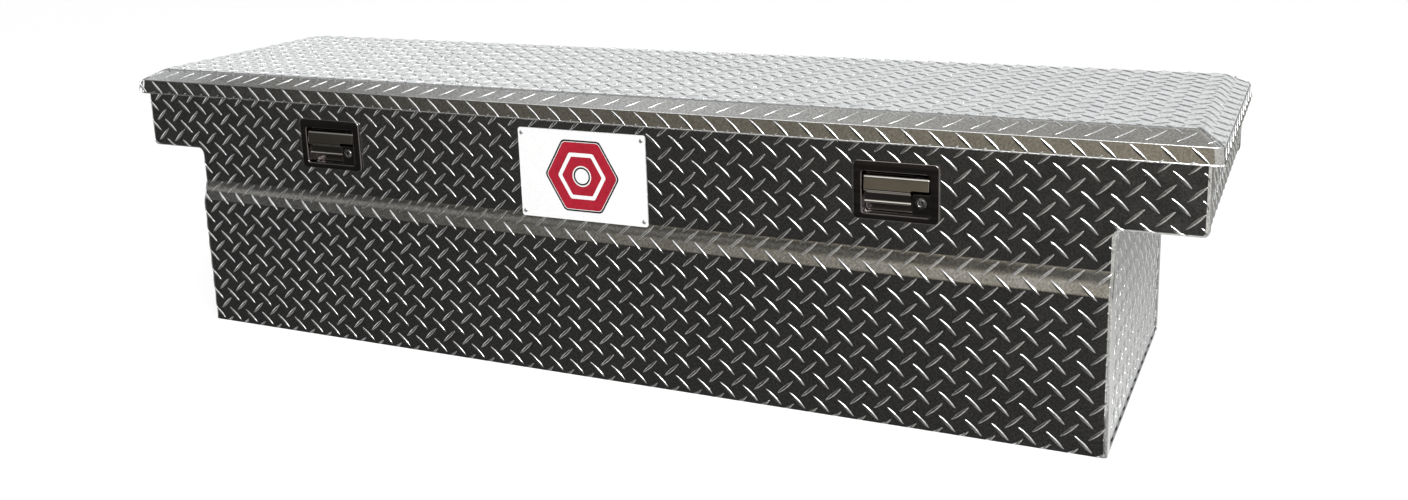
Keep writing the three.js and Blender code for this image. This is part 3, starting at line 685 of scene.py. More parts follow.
KINK_LEAN = math.radians(8.6)  # the ledge's upper bend starts sharply, then eases over a wide arc
KINK = 10.0
ledge_lean = math.atan2(FRONT - BIN_FRONT, LEDGE_TOP - LEDGE_BOTTOM)
kink_rise = KINK * math.sin(ledge_lean - KINK_LEAN) / math.sin(ledge_lean)
kink_foot = (FRONT - KINK * math.sin(KINK_LEAN), LEDGE_TOP + kink_rise - KINK * math.cos(KINK_LEAN))
front_profile = Profile(
    [
        (BIN_FRONT, 0), (BIN_FRONT, LEDGE_BOTTOM), kink_foot, (FRONT, LEDGE_TOP + kink_rise),
        (FRONT, RIM), (FRONT + RIM_FLANGE, RIM),
    ],
    (SHARP_BEND, WIDE_BEND, RIM_BEND, RIM_BEND), 1,
)
front_sheet = WrappedSheet(front_profile, 1, FLANGE_END, front_profile.length)
latch_holes = [latch_hole(front_sheet, side) for side, _ in SIDES]
front_shell = front_sheet.build(latch_holes)
covered = [around(f"latch_housing_{side}", 3) for side, _ in SIDES] + [around("badge_plate", 2)]
CREASE = front_sheet.v(LEDGE_TOP)  # the sheet's pattern is shifted above the ledge


def in_sight(centres):
    """Which lug middles no latch or badge covers."""
    return np.all([test(front_sheet, centres) for test in covered], 0)


def below_crease(centres):
    return in_sight(centres) & (centres[:, 1] < CREASE - 3)


def above_crease(centres):
    return in_sight(centres) & (centres[:, 1] > CREASE + 2)


front_top = front_sheet.v(RIM - 8)
front_sheet.lugs(front_shell, FRONT_LOW_LUGS, below_crease, front_top)
front_sheet.lugs(front_shell, FRONT_HIGH_LUGS, above_crease, front_top, latch_holes)
front_shell.make("front_sheet", tread, "bin", ["front_panel"], "tread_plate")

rear_profile = Profile(
    [(REAR, 0), (REAR, RAIL_TOP), (RISER, RAIL_TOP), (RISER, RIM), (RISER - RIM_FLANGE, RIM)],
    RAIL_BENDS, -1,
)
rear_sheet = WrappedSheet(rear_profile, -1, REAR - FLANGE_DEPTH, rear_profile.length)
rear_shell = rear_sheet.build([])
rear_top = rear_sheet.v(RAIL_TOP - EDGE_BEND) + 12
rear_sheet.lugs(rear_shell, REAR_LUGS, lambda centres: np.ones(len(centres), bool), rear_top)
rear_shell.make("rear_sheet", tread, "bin", ["rear_panel"], "tread_plate")


# ------------------------------------------------------------------ end panels
CUT_RIM = 0.4  # what stays free of lugs along an end sheet's edges


def bent_sheet(profile, outline, lug_origin, keep):
    """A sheet along Y, bent one way only: its outline and lugs are in (y, v)."""
    def put(y, v, h):
        point, _, normal = profile.at(v)
        point = point + normal * np.asarray(h)[..., None]
        return np.stack([point[..., 0], y, point[..., 1]], -1)

    flat, faces = triangulate([outline], profile.bends())
    y, v = flat[:, 0], flat[:, 1]
    outer, inner = (put(y, v, np.full(len(y), h)) for h in (0.0, -SHEET))
    shell = Shell()
    thicken(shell, outer, inner, faces, in_bends(profile, flat, faces))

    low, high = np.array(outline).min(0), np.array(outline).max(0)
    centres, angles = lug_lattice((low[0], high[0]), (low[1], high[1]), lug_origin)
    within = (centres > low - LUG_OVERHANG) & (centres < high + LUG_OVERHANG)
    held = keep(centres) & within.all(1)
    y, v, h = lug_fields(centres[held], angles[held])
    y, v = (np.clip(p, low[i] + CUT_RIM, high[i] - CUT_RIM) for i, p in enumerate((y, v)))
    add_lugs(shell, put(y, v, h))
    return shell


FLANGE_LAP = 8.0  # how far a lug may reach under the front and rear sheets' flanges

for side, sign in SIDES:
    lower, upper = BIN - WALL_INSET, WING - WALL_INSET
    floor = WING_BOTTOM + WALL_INSET
    end_profile = Profile(
        [
            (sign * lower, WALL_INSET), (sign * lower, floor), (sign * upper, floor),
            (sign * upper, RIM), (sign * (upper - RIM_FLANGE), RIM),
        ],
        (NOTCH_FILLET + WALL_INSET, WING_CORNER - WALL_INSET, RIM_BEND), -sign,
    )
    top = end_profile.length
    flange_v = end_profile.where(1, RIM - SHEET - GAP, 0, top - 20)
    rail_v = end_profile.where(1, RAIL_TOP - WALL_INSET, 0, top - 20)
    y0, y1, riser_y = FRONT + WALL_INSET, REAR - WALL_INSET, RISER - WALL_INSET
    flange_front, flange_rear = FRONT + RIM_FLANGE + GAP, RISER - RIM_FLANGE - GAP
    outline = [
        (y0, 0), (y1, 0), (y1, rail_v), (riser_y, rail_v), (riser_y, flange_v), (flange_rear, flange_v),
        (flange_rear, top), (flange_front, top), (flange_front, flange_v), (y0, flange_v),
    ]

    def keep_end(centres):
        y, v = centres[:, 0], centres[:, 1]
        open_face = (y > FLANGE_END - FLANGE_LAP) & (y < REAR - FLANGE_DEPTH + FLANGE_LAP)
        clear_of_rail = (v < rail_v - 8) | (y < RISER - 16)
        return open_face & clear_of_rail & (v < flange_v - 6)

    end_shell = bent_sheet(end_profile, outline, END_LUGS, keep_end)
    end_shell.make(f"{side}_end_sheet", tread, "bin", [f"{side}_end_panel"], "tread_plate")


# ------------------------------------------------------------------ lofts and small solids
def ring_loft(shell, rings, smooth=True, closed=False):
    """Joins rings of equally many points into one skin, with a face over each end unless it is closed."""
    rings = np.asarray(rings, float)
    levels, count = rings.shape[:2]
    flags = smooth if isinstance(smooth, list) else [smooth] * levels
    faces, marks = [], []
    for k in range(levels if closed else levels - 1):
        a, b = k * count, (k + 1) % levels * count
        for i in range(count):
            j = (i + 1) % count
            faces.append([a + i, a + j, b + j, b + i])
            marks.append(flags[k])
    if not closed:
        faces.append(list(range(count))[::-1])
        faces.append([(levels - 1) * count + i for i in range(count)])
        marks += [False, False]
    points = rings.reshape(-1, 3)
    if volume(points, faces) < 0:
        faces = [face[::-1] for face in faces]
    base = len(shell.smooth)
    shell.add(points, faces)
    shell.smooth[base:] = marks


def volume(points, faces):
    """Six times the signed volume of a closed skin."""
    total = 0.0
    for face in faces:
        a = points[face[0]]
        for i in range(1, len(face) - 1):
            total += np.dot(a, np.cross(points[face[i]], points[face[i + 1]]))
    return total


def turned(shell, start, axis, outline, sides):
    """A turned solid: outline lists (distance along axis, radius)."""
    axis = np.array(axis, float) / np.linalg.norm(axis)
    across = np.cross(axis, (0, 0, 1) if abs(axis[2]) < 0.9 else (1, 0, 0))
    across /= np.linalg.norm(across)
    other = np.cross(axis, across)
    turn = np.linspace(0, 2 * math.pi, sides + 1)[:-1]
    circle = np.cos(turn)[:, None] * across + np.sin(turn)[:, None] * other
    ring_loft(shell, [np.array(start) + axis * d + circle * r for d, r in outline])


def rounded_rod(length, radius, edge=0.4):
    """Outline of a rod with eased ends."""
    return [(0, radius - edge), (edge * 0.3, radius - edge * 0.3), (edge, radius),
            (length - edge, radius), (length - edge * 0.3, radius - edge * 0.3), (length, radius - edge)]


def dome(radius, height, base=0.0):
    """Outline of a rivet's head."""
    steps = np.linspace(0, math.pi / 2, 7)[:-1]
    return [(base, radius)] + [(base + height * math.sin(a), radius * math.cos(a)) for a in steps[1:]] + [
        (base + height, radius * 0.12)]


def tube(shell, path, radius, sides):
    """A round wire along a path of points, carried on from ring to ring without a twist."""
    turn = np.linspace(0, 2 * math.pi, sides + 1)[:-1, None]
    rings, side = [], None
    for i, spot in enumerate(path):
        ahead = path[min(i + 1, len(path) - 1)] - path[max(i - 1, 0)]
        way = ahead / np.linalg.norm(ahead)
        if side is None:
            side = np.cross(way, (1, 0, 0) if abs(way[0]) < 0.9 else (0, 0, 1))
        else:
            side = side - way * np.dot(side, way)
        side /= np.linalg.norm(side)
        rings.append(spot + radius * (np.cos(turn) * side + np.sin(turn) * np.cross(way, side)))
    ring_loft(shell, rings)


def round_corners(x0, x1, y0, y1, radius, steps=6):
    """A rectangle with round corners, anticlockwise."""
    spots = [(x1, y1, 0), (x0, y1, 90), (x0, y0, 180), (x1, y0, 270)]
    points = []
    for x, y, start in spots:
        centre = (x - math.copysign(radius, x - (x0 + x1) / 2), y - math.copysign(radius, y - (y0 + y1) / 2))
        points += arc(centre, radius, start, start + 90, steps)
    return points


def prism(shell, loop, axis, a, b, bevel=0.0):
    """A loop of points run along X, Y or Z, with a small bevel at each end."""
    loop = np.array(loop, float)
    order = {"x": (1, 2, 0), "y": (0, 2, 1), "z": (0, 1, 2)}[axis]

    def ring(at, inset):
        inner = shrink(loop, inset)
        points = np.zeros((len(loop), 3))
        points[:, order[0]], points[:, order[1]], points[:, order[2]] = inner[:, 0], inner[:, 1], at
        return points

    rings = [ring(a, 0), ring(b, 0)]
    if bevel:
        step = math.copysign(bevel, b - a)
        rings = [ring(a, bevel), ring(a + step * 0.3, bevel * 0.3), ring(a + step, 0),
                 ring(b - step, 0), ring(b - step * 0.3, bevel * 0.3), ring(b, bevel)]
    ring_loft(shell, rings, False)


def shrink(loop, by):
    """A loop moved inwards by a small distance."""
    if not by:
        return loop
    before, after = loop - np.roll(loop, 1, 0), np.roll(loop, -1, 0) - loop
    before /= np.linalg.norm(before, axis=1)[:, None]
    after /= np.linalg.norm(after, axis=1)[:, None]
    after_x, after_y = np.roll(loop, -1, 0).T
    turn = 1 if np.sum(loop[:, 0] * after_y - loop[:, 1] * after_x) > 0 else -1
    left_of = [np.stack([-way[:, 1], way[:, 0]], -1) for way in (before, after)]
    normal = turn * (left_of[0] + left_of[1])
    length = np.linalg.norm(normal, axis=1)[:, None]
    return loop + normal / length * by / np.maximum(length / 2, 0.5)


def bake(piece):
    """Puts what a piece's modifiers make into its mesh."""
    bpy.context.view_layer.update()
    piece.data = bpy.data.meshes.new_from_object(piece.evaluated_get(bpy.context.evaluated_depsgraph_get()))
    piece.modifiers.clear()


def soften(piece, angle=32):
    """Shades a piece smooth between the edges that are sharper than an angle."""
    made = bmesh.new()
    made.from_mesh(piece.data)
    bmesh.ops.remove_doubles(made, verts=made.verts, dist=TINY)
    for face in made.faces:
        face.smooth = True
    made.to_mesh(piece.data)
    made.free()
    piece.data.set_sharp_from_angle(angle=math.radians(angle))
    weights = piece.modifiers.new("weights", "WEIGHTED_NORMAL")
    weights.keep_sharp = True
    bake(piece)


# ------------------------------------------------------------------ lid
LID_BOTTOM, LID_TOP = lid_low[2], lid_high[2]
SKIRT = 23.5
LID_SKIRT_TOP, LID_TILT, LID_BEVEL, LID_FLAT = LID_BOTTOM + SKIRT, 2.5, 32.0, 50.0
LID_CORNERS, LID_FLAT_CORNER = (12.0, 22.0), 3.0  # front and rear plan corners at the skirt
lid_profile = Profile(
    [(LID_FLAT, LID_TOP), (LID_BEVEL, LID_TOP), (LID_TILT, LID_SKIRT_TOP), (0, LID_BOTTOM)], (12.0, 1.6), -1)
HEM = 1.2  # radius of the skirt's rolled bottom edge
HEM_INSET = 1.0


def lid_ring(inset, z):
    x0, x1, y0, y1 = lid_low[0] + inset, lid_high[0] - inset, lid_low[1] + inset, lid_high[1] - inset
    front, rear = (max(LID_FLAT_CORNER + (corner - LID_FLAT_CORNER) * (1 - inset / LID_FLAT), 1.5)
                   for corner in LID_CORNERS)
    points = round_corners(x0, x1, y0, y1, rear)
    half = len(points) // 2
    return [(x, y, z) for x, y in points[:half] + round_corners(x0, x1, y0, y1, front)[half:]]


lid_shell = Shell()
bends = lid_profile.bends(math.radians(8))
marks = sorted(set([0.0, lid_profile.length - 2.2 * HEM] + bends))
point, _, normal = lid_profile.at(np.array(marks))
edge_rings = [(p[0], p[1]) for p in point]
hem_turns = np.radians(range(-50, 181, 23))
rim = [(HEM_INSET - HEM * math.cos(a), LID_BOTTOM + HEM - HEM * math.sin(a)) for a in hem_turns]
within = [(p[0] - SHEET * n[0], p[1] - SHEET * n[1]) for p, n in zip(point, normal)][::-1]
bent = [a in bends and b in bends and b - a < 5 for a, b in zip(marks, marks[1:])]
flags = bent + [False] + [True] * (len(rim) - 1) + [False] + bent[::-1] + [False]
edge_rings += rim + within
ring_loft(lid_shell, [lid_ring(*ring) for ring in edge_rings], flags)


def lid_points(px, py, h):
    """Points of the lid's outer face from its flat pattern, which is the plan of its flat top."""
    flat_x, y_front, y_rear = lid_high[0] - LID_FLAT, lid_low[1] + LID_FLAT, lid_high[1] - LID_FLAT
    tx = np.abs(px) - flat_x
    ty = np.maximum(y_front - py, py - y_rear)
    by_x = tx > np.maximum(ty, 0)
    t = np.clip(np.where(by_x, tx, ty), 0, lid_profile.length - 0.4)
    point, _, normal = lid_profile.at(t)
    inset = point[..., 0]
    out = np.where(t > 0, inset, LID_FLAT)
    room = 1.2
    along_x = np.clip(px, lid_low[0] + out + room, lid_high[0] - out - room)
    along_y = np.clip(py, lid_low[1] + out + room, lid_high[1] - out - room)
    side_x, side_y = np.sign(px), np.where(py > (y_front + y_rear) / 2, 1, -1)
    folded = t > 0
    edge_x = side_x * (lid_high[0] - inset)
    edge_y = np.where(side_y > 0, lid_high[1] - inset, lid_low[1] + inset)
    x = np.where(folded & by_x, edge_x, np.where(folded, along_x, px))
    y = np.where(folded & ~by_x, edge_y, np.where(folded, along_y, py))
    z = np.where(folded, point[..., 1], LID_TOP)
    lift = np.where(folded, normal[..., 1], 1.0) * h
    push = np.where(folded, -normal[..., 0], 0.0) * h
    x = x + np.where(by_x, side_x * push, 0)
    y = y + np.where(by_x, 0, side_y * push)
    return np.stack([x, y, z + lift], -1)


LID_LUG_START = -10.8
PATTERN_SHIFT = 11.3  # the pattern above the skirt's crease, against the skirt's own
LATTICE_ROOM = 30.0  # the flat pattern is wider than the lid
LID_TRIM = 4.0  # what stays free of lug middles beside a corner's mitre and the skirt's crease
HINGE_STRIP = 28.0  # the rear skirt, which has no lugs behind the hinge
row_y = lid_low[1] + LID_FLAT - (lid_profile.length - SKIRT / 2)


def add_lid_lugs(shift, least, most):
    """Adds the lugs whose centres are between two distances out from the flat top's edge."""
    spread = [(lid_low[i] - LATTICE_ROOM, lid_high[i] + LATTICE_ROOM) for i in (0, 1)]
    centres, angles = lug_lattice(*spread, (LID_LUG_START, row_y + shift))
    tx = np.abs(centres[:, 0]) - (lid_high[0] - LID_FLAT)
    ty = np.maximum(lid_low[1] + LID_FLAT - centres[:, 1], centres[:, 1] - (lid_high[1] - LID_FLAT))
    out = np.maximum(tx, ty)
    held = (out > least) & (out < most)
    for along, across in ((tx, ty), (ty, tx)):
        folded = (across > 0) & (across >= along)
        inset = lid_profile.at(np.clip(across, 0, lid_profile.length))[0][:, 0]
        held &= ~(folded & (along > LID_FLAT - inset + LID_TRIM))
    held &= ~((centres[:, 1] > lid_high[1] - LID_FLAT) & (ty > lid_profile.length - HINGE_STRIP))
    u, v, h = lug_fields(centres[held], angles[held])
    add_lugs(lid_shell, lid_points(u, v, h))


skirt_start = lid_profile.length - SKIRT
add_lid_lugs(0, skirt_start, lid_profile.length + LUG_OVERHANG)
add_lid_lugs(PATTERN_SHIFT, -math.inf, skirt_start - LID_TRIM)
lid_shell.make("lid_tread_shell", tread, "lid", ["lid_shell"], "tread_plate")

# ------------------------------------------------------------------ latches
PLATE_CORNER = 7.0
DISH_BACK = -229.0
BOSS_LEFT, BOSS_TOP, BOSS_FACE = 22.5, 331.0, -246.5
FINGER_WINDOW = (-6.0, 6.0, 337.0, 351.0)
PADDLE_HALF, PADDLE_NOTCH = 45.5, 20.0
PADDLE_PIN = 1.9
SPRING_ROOM = (23.0, 41.0)  # the part of the paddle's width that is open for its spring
LOCK_RADIUS, PLUG_RADIUS, TAIL_RADIUS, NUT_RADIUS = 8.0, 6.0, 3.5, 11.0
LOCK_DEPTH = 1.7  # how far the lock's face lies behind the bezel's
KEY_SLOT = (0.75, 3.6)  # half its width and half its length
ALONG_X, ALONG_Y = (1, 0, 0), (0, 1, 0)


def add_rings(shell, rings, smooth=True, closed=False):
    """Lofts (y, box in x and z, corner) rounded rectangles one after another."""
    made = [[(x, y, z) for x, z in round_corners(*box, corner)] for y, box, corner in rings]
    ring_loft(shell, made, smooth, closed)


def housing_shell(x, low, high):
    """A latch's bezel and dish, one closed skin from the back of the dish round to its inside."""
    plate, dish = (low[0], high[0], low[2], high[2]), dish_box(x)
    face, back, rear = low[1], DISH_BACK, DISH_BACK + SHEET
    plate_back = face + SHEET
    shell = Shell()
    add_rings(shell, [
        (rear, grow(dish, 0.8), 4), (rear - 1.2, grow(dish, 2), 5), (plate_back, grow(dish, 2), 5),
        (plate_back, plate, PLATE_CORNER), (face + 0.9, plate, PLATE_CORNER),
        (face + 0.35, grow(plate, -0.35), PLATE_CORNER), (face, grow(plate, -1.2), PLATE_CORNER - 1),
        (face, grow(dish, 1.8), 5.5), (face + 0.3, grow(dish, 0.7), 4.6), (face + 1.2, dish, 4),
        (back - 3, dish, 4), (back - 0.9, grow(dish, -0.9), 3.4), (back, grow(dish, -3), 2),
    ])
    return shell


def combine(piece, shells, operation="DIFFERENCE"):
    """Cuts shells out of a piece, or joins them to it."""
    for shell in shells:
        mesh = bpy.data.meshes.new("tool")
        mesh.from_pydata((np.concatenate(shell.points) * MM).tolist(), [], shell.faces)
        tool = bpy.data.objects.new("tool", mesh)
        bpy.context.scene.collection.objects.link(tool)
        change = piece.modifiers.new("change", "BOOLEAN")
        change.operation, change.solver, change.object = operation, "EXACT", tool
        bake(piece)
        bpy.data.objects.remove(tool)


def turning(start, axis, outline, sides):
    """A shell with one turned solid."""
    shell = Shell()
    turned(shell, start, axis, outline, sides)
    return shell


def rod(start, axis, length, radius, sides=24):
    return turning(start, axis, [(0, radius), (length, radius)], sides)


def slab(x0, x1, y0, y1, z0, z1, corner, bevel=0.0):
    """A block with round corners as seen from the front."""
    shell = Shell()
    prism(shell, round_corners(x0, x1, z0, z1, corner, 4), "y", y0, y1, bevel)
    return shell


def body_of_node(node):
    """The body a CAD node belongs to."""
    return frame["nodes"][node]["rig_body"]


def joint_at(name):
    return np.array(next(j for j in frame["joints"] if j["name"] == name)["pos_m"]) / MM


def paddle_outline(y, z):
    """The paddle's section about its pin: round top edge, face, ridge, undercut and beaded lower lip."""
    points = arc((y - 3.2, z - 1.6), 5.2, 84, 173, 9)
    points += arc((y - 7.2, z - 16.2), 3.2, 168, 240, 7)
    points += [(y - 5.6, z - 22.0), (y - 5.0, z - 31.5)]
    points += arc((y - 4.2, z - 34.6), 2.2, 130, 330, 9)
    points += [(y - 1.8, z - 32.0), (y - 2.4, z - 22.0), (y - 4.0, z - 17.0), (y - 4.4, z - 6.5)]
    return points + arc((y, z), 4.1, -95, 78, 10)


def make_housing(side, x, low, high, pin, lock):
    housing = housing_shell(x, low, high).make(
        f"latch_bezel_{side}", black_chrome, "bin", [f"latch_housing_{side}"], "black_coat")
    boss = slab(x + BOSS_LEFT, x + DISH[1] + 1, BOSS_FACE, DISH_BACK + 1, DISH[2] - 1, BOSS_TOP, 2.5, 0.7)
    combine(housing, [boss], "UNION")
    left, right, bottom, top = FINGER_WINDOW
    combine(housing, [
        rod((lock[0], low[1] - 1, lock[2]), ALONG_Y, 30, LOCK_RADIUS + GAP, 32),
        rod((low[0] - 5, pin[1], pin[2]), ALONG_X, 130, PADDLE_PIN + GAP, 16),
        slab(x + left, x + right, DISH_BACK - 2, DISH_BACK + 4, bottom, top, 1),
    ])
    soften(housing)


def make_gasket(side, x):
    low, high = span(f"housing_gasket_{side}")
    outside, cut_out = (low[0], high[0], low[2], high[2]), dish_box(x, DISH_ROOM)
    pad = Shell()
    add_rings(pad, [
        (low[1], outside, PLATE_CORNER - 1), (high[1], outside, PLATE_CORNER - 1),
        (high[1], cut_out, 3), (low[1], cut_out, 3),
    ], False, True)
    pad.make(f"gasket_pad_{side}", rubber, "bin", [f"housing_gasket_{side}"], "rubber")


def make_paddle(side, x, pin):
    """The paddle with its finger, less the corner beside the lock, the spring's room and the pin's bore."""
    y, z = pin[1], pin[2]
    shell = Shell()
    prism(shell, paddle_outline(y, z), "x", x - PADDLE_HALF, x + PADDLE_HALF, 0.9)
    paddle = shell.make(
        f"latch_paddle_{side}", dark_chrome, f"{side}_paddle", [f"paddle_{side}"], "black_coat")
    combine(paddle, [slab(x - 4, x + 4, y + 1.5, y + 19, z - 5, z - 2, 0.8, 0.5)], "UNION")
    combine(paddle, [
        slab(x + PADDLE_NOTCH, x + 60, y - 20, y + 5, z - 60, z - 14.2, 3),
        slab(x + SPRING_ROOM[0], x + SPRING_ROOM[1], y - 4.4, y + 9, z - 10, z + 10, 0.6),
        rod((x - 60, y, z), ALONG_X, 120, PADDLE_PIN + GAP, 16),
    ])
    soften(paddle)


def make_lock(side, bezel, lock):
    """The lock's barrel with its nut, and the plug with its key slot and tail."""
    x, z, face = lock[0], lock[2], bezel + LOCK_DEPTH
    barrel = turning((x, face + 0.4, z), ALONG_Y, [
        (0, LOCK_RADIUS - 0.9), (0.25, LOCK_RADIUS - 0.3), (0.9, LOCK_RADIUS), (34, LOCK_RADIUS)], 36)
    barrel = barrel.make(f"lock_barrel_{side}", lock_metal, "bin", [f"lock_body_{side}"], "lock_face")
    nut = [(0, NUT_RADIUS), (3.6, NUT_RADIUS), (4, NUT_RADIUS - 0.4)]
    combine(barrel, [turning((x, DISH_BACK + SHEET + GAP, z), ALONG_Y, nut, 6)], "UNION")
    combine(barrel, [rod((x, bezel - 2, z), ALONG_Y, 60, PLUG_RADIUS + GAP, 36)])
    soften(barrel)

    plug = turning((x, face, z), ALONG_Y, [
        (0.5, 0.4), (0.35, PLUG_RADIUS - 2.2), (0, PLUG_RADIUS - 1.6), (0.1, PLUG_RADIUS - 0.4),
        (0.5, PLUG_RADIUS), (35.2, PLUG_RADIUS), (35.2, TAIL_RADIUS), (41, TAIL_RADIUS),
        (41.4, TAIL_RADIUS - 0.4),
    ], 36)
    plug = plug.make(
        f"lock_cylinder_{side}", lock_metal, f"{side}_lock", [f"lock_plug_{side}"], "lock_face")
    wide, long = KEY_SLOT
    combine(plug, [slab(x - wide, x + wide, face - 1, face + 4, z - long, z + long, 0.5)])
    soften(plug)


def make_coil(kind, side, x, centre, radius, wire, reach, turns):
    """A torsion spring's coil round a pin, between two distances from the latch's middle."""
    along = np.linspace(0, 1, turns * 20 + 1)
    angle = along * turns * 2 * math.pi
    first, last = reach
    path = np.stack([x + first + (last - first) * along, centre[1] + radius * np.cos(angle),
                     centre[2] + radius * np.sin(angle)], -1)
    spring = Shell()
    tube(spring, path, wire, 8)
    node = f"{kind}_spring_{side}"
    spring.make(f"{kind}_coil_{side}", steel, body_of_node(node), [node], "steel")


for side, _ in SIDES:
    low, high = span(f"latch_housing_{side}")
    x = (low[0] + high[0]) / 2
    pin, hook_pin, lock = (joint_at(f"{side}_{name}") for name in ("paddle_hinge", "hook_pivot", "lock_turn"))
    make_housing(side, x, low, high, pin, lock)
    make_gasket(side, x)
    make_paddle(side, x, pin)
    make_lock(side, low[1], lock)
    make_coil("paddle", side, x, pin, 3.0, 0.5, (25, 39), 6)
    make_coil("hook", side, x, hook_pin, 4.8, 0.7, (5, 12), 4)

# ------------------------------------------------------------------ badge
low, high = span("badge_plate")
middle_x, middle_z, badge_face = (low[0] + high[0]) / 2, (low[2] + high[2]) / 2, low[1]
badge = Shell()
prism(badge, round_corners(low[0], high[0], low[2], high[2], 4), "y", high[1], low[1], 0.35)
badge.make("badge_panel", white_enamel, "bin", ["badge_plate"], "badge_white")


def hexagon(radius, corner, steps=5):
    """A hexagon with round corners and a flat top, as (x, z) about the badge's middle."""
    points = []
    for k in range(6):
        turn = math.radians(60 * k)
        reach = radius - corner / math.cos(math.radians(30))
        centre = (middle_x + reach * math.cos(turn), middle_z + reach * math.sin(turn))
        points += arc(centre, corner, 60 * k - 30, 60 * k + 30, steps)
    return points


def printed(name, outer, holes, look, layer):
    """A flat print on the badge, cut from film: an outline with holes."""
    flat, faces = triangulate([outer] + holes, [])
    y = badge_face - 0.04 - 0.06 * layer
    front = np.stack([flat[:, 0], np.full(len(flat), y - 0.05), flat[:, 1]], -1)
    film = Shell()
    thicken(film, front, front + (0, 0.06, 0), faces, [False] * len(faces))
    film.make(name, look, "bin", (), "badge_white")


def circle(radius, sides=48):
    return arc((middle_x, middle_z), radius, 0, 360, sides)[:-1]


printed("badge_ring_outer", hexagon(63.5, 9), [hexagon(60.5, 8)], ink, 0)
printed("badge_ring_middle", hexagon(59.5, 8), [hexagon(41, 5)], crimson, 0)
printed("badge_nut", hexagon(34, 4), [circle(16)], crimson, 0)
printed("badge_thread", circle(14), [circle(11.5)], ink, 0)
for k in range(4):
    name = f"badge_rivet_{k + 1}"
    low, high = span(name)
    rivet = Shell()
    turned(rivet, ((low[0] + high[0]) / 2, badge_face - GAP * 0.4, (low[2] + high[2]) / 2), (0, -1, 0),
           [(-4, 1.4), (-0.2, 1.4), (-0.2, 3.3)] + dome(3.3, 1.3), 24)
    piece = rivet.make(f"badge_pop_rivet_{k + 1}", mill, "bin", [name], "mill_aluminium")
    soften(piece, 40)

# ------------------------------------------------------------------ hinge
hinge = joint_at("lid_hinge")
HINGE_RADIUS, HINGE_BORE, LEAF = 4.0, 2.35, 1.6
KNUCKLES, RIVETS = 67, 23
CUT_REACH = 8.0  # how far the cut for the other leaf's knuckles reaches past the hinge's axis
leaf_spans = {kind: span(f"hinge_leaf_{kind}") for kind in ("body", "lid")}
half = leaf_spans["body"][1][0]
pitch = 2 * half / KNUCKLES


def knuckle(shell, x0, x1):
    """A rolled knuckle: a thick ring along X."""
    turn = np.linspace(0, 2 * math.pi, 25)[:-1]
    rings = []
    for x, radius in ((x0, HINGE_BORE), (x0, HINGE_RADIUS - 0.3), (x0 + 0.3, HINGE_RADIUS),
                      (x1 - 0.3, HINGE_RADIUS), (x1, HINGE_RADIUS - 0.3), (x1, HINGE_BORE)):
        y, z = hinge[1] + radius * np.cos(turn), hinge[2] + radius * np.sin(turn)
        rings.append(np.stack([np.full(24, x), y, z], -1))
    ring_loft(shell, rings, True, True)


def knuckle_ends(i, room):
    """Where knuckle i starts and ends, with room taken off or added at both ends."""
    return -half + i * pitch - room, -half + (i + 1) * pitch + room


def body_leaf(low, high):
    """Section, rivets' place and direction, and the cut's far side in y and z for the flat leaf."""
    z, back = low[2], high[1]
    outline = [
        (hinge[1] + 1.2, z + 0.05), (back - 0.4, z), (back, z + 0.4), (back, z + LEAF - 0.4),
        (back - 0.4, z + LEAF), (hinge[1] + HINGE_RADIUS - 0.2, z + LEAF),
    ]
    return outline, (back - 11, z + LEAF), (0, 0, 1), (HINGE_RADIUS + 0.4, CUT_REACH)


def lid_leaf(low, high):
    """The same for the leaf that leans with the lid's rear skirt."""
    lean = (low[1] - (hinge[1] - HINGE_RADIUS)) / (high[2] - hinge[2])

    def at(z, depth):
        return hinge[1] - HINGE_RADIUS + depth + lean * (z - hinge[2]), z

    top = high[2]
    outline = [
        at(hinge[2] + 1.2, 0.05), at(top - 0.4, 0), at(top, 0.4), at(top, LEAF - 0.4), at(top - 0.4, LEAF),
        at(hinge[2] + HINGE_RADIUS - 0.2, LEAF),
    ]
    return outline, at(top - 7, LEAF), (0, 1, 0), (CUT_REACH, HINGE_RADIUS + 0.4)


for kind, owner, first, section in (("body", "bin", 0, body_leaf), ("lid", "lid", 1, lid_leaf)):
    outline, spot, way, (far_y, far_z) = section(*leaf_spans[kind])
    leaf = Shell()
    for i in range(first, KNUCKLES, 2):
        knuckle(leaf, *knuckle_ends(i, -GAP / 2))
    prism(leaf, outline, "x", -half, half)
    for x in np.linspace(-half + 30, half - 30, RIVETS):
        turned(leaf, (x, *spot), way, [(-0.3, 3.2)] + dome(3.2, 1.2), 16)
    piece = leaf.make(f"hinge_strip_{kind}", mill, owner, [f"hinge_leaf_{kind}"], "mill_aluminium")
    cut = rectangle(hinge[1] - CUT_REACH, hinge[1] + far_y, hinge[2] - CUT_REACH, hinge[2] + far_z)
    cutter = Shell()
    for i in range(1 - first, KNUCKLES, 2):
        x0, x1 = knuckle_ends(i, GAP / 2)
        prism(cutter, cut, "x", x0 - (i == 0), x1 + (i == KNUCKLES - 1))
    combine(piece, [cutter])
    soften(piece)
pin = turning((-half - 1, hinge[1], hinge[2]), ALONG_X, rounded_rod(2 * half + 2, 2.0), 16)
pin.make("hinge_rod", steel, "bin", ["hinge_pin"], "steel")

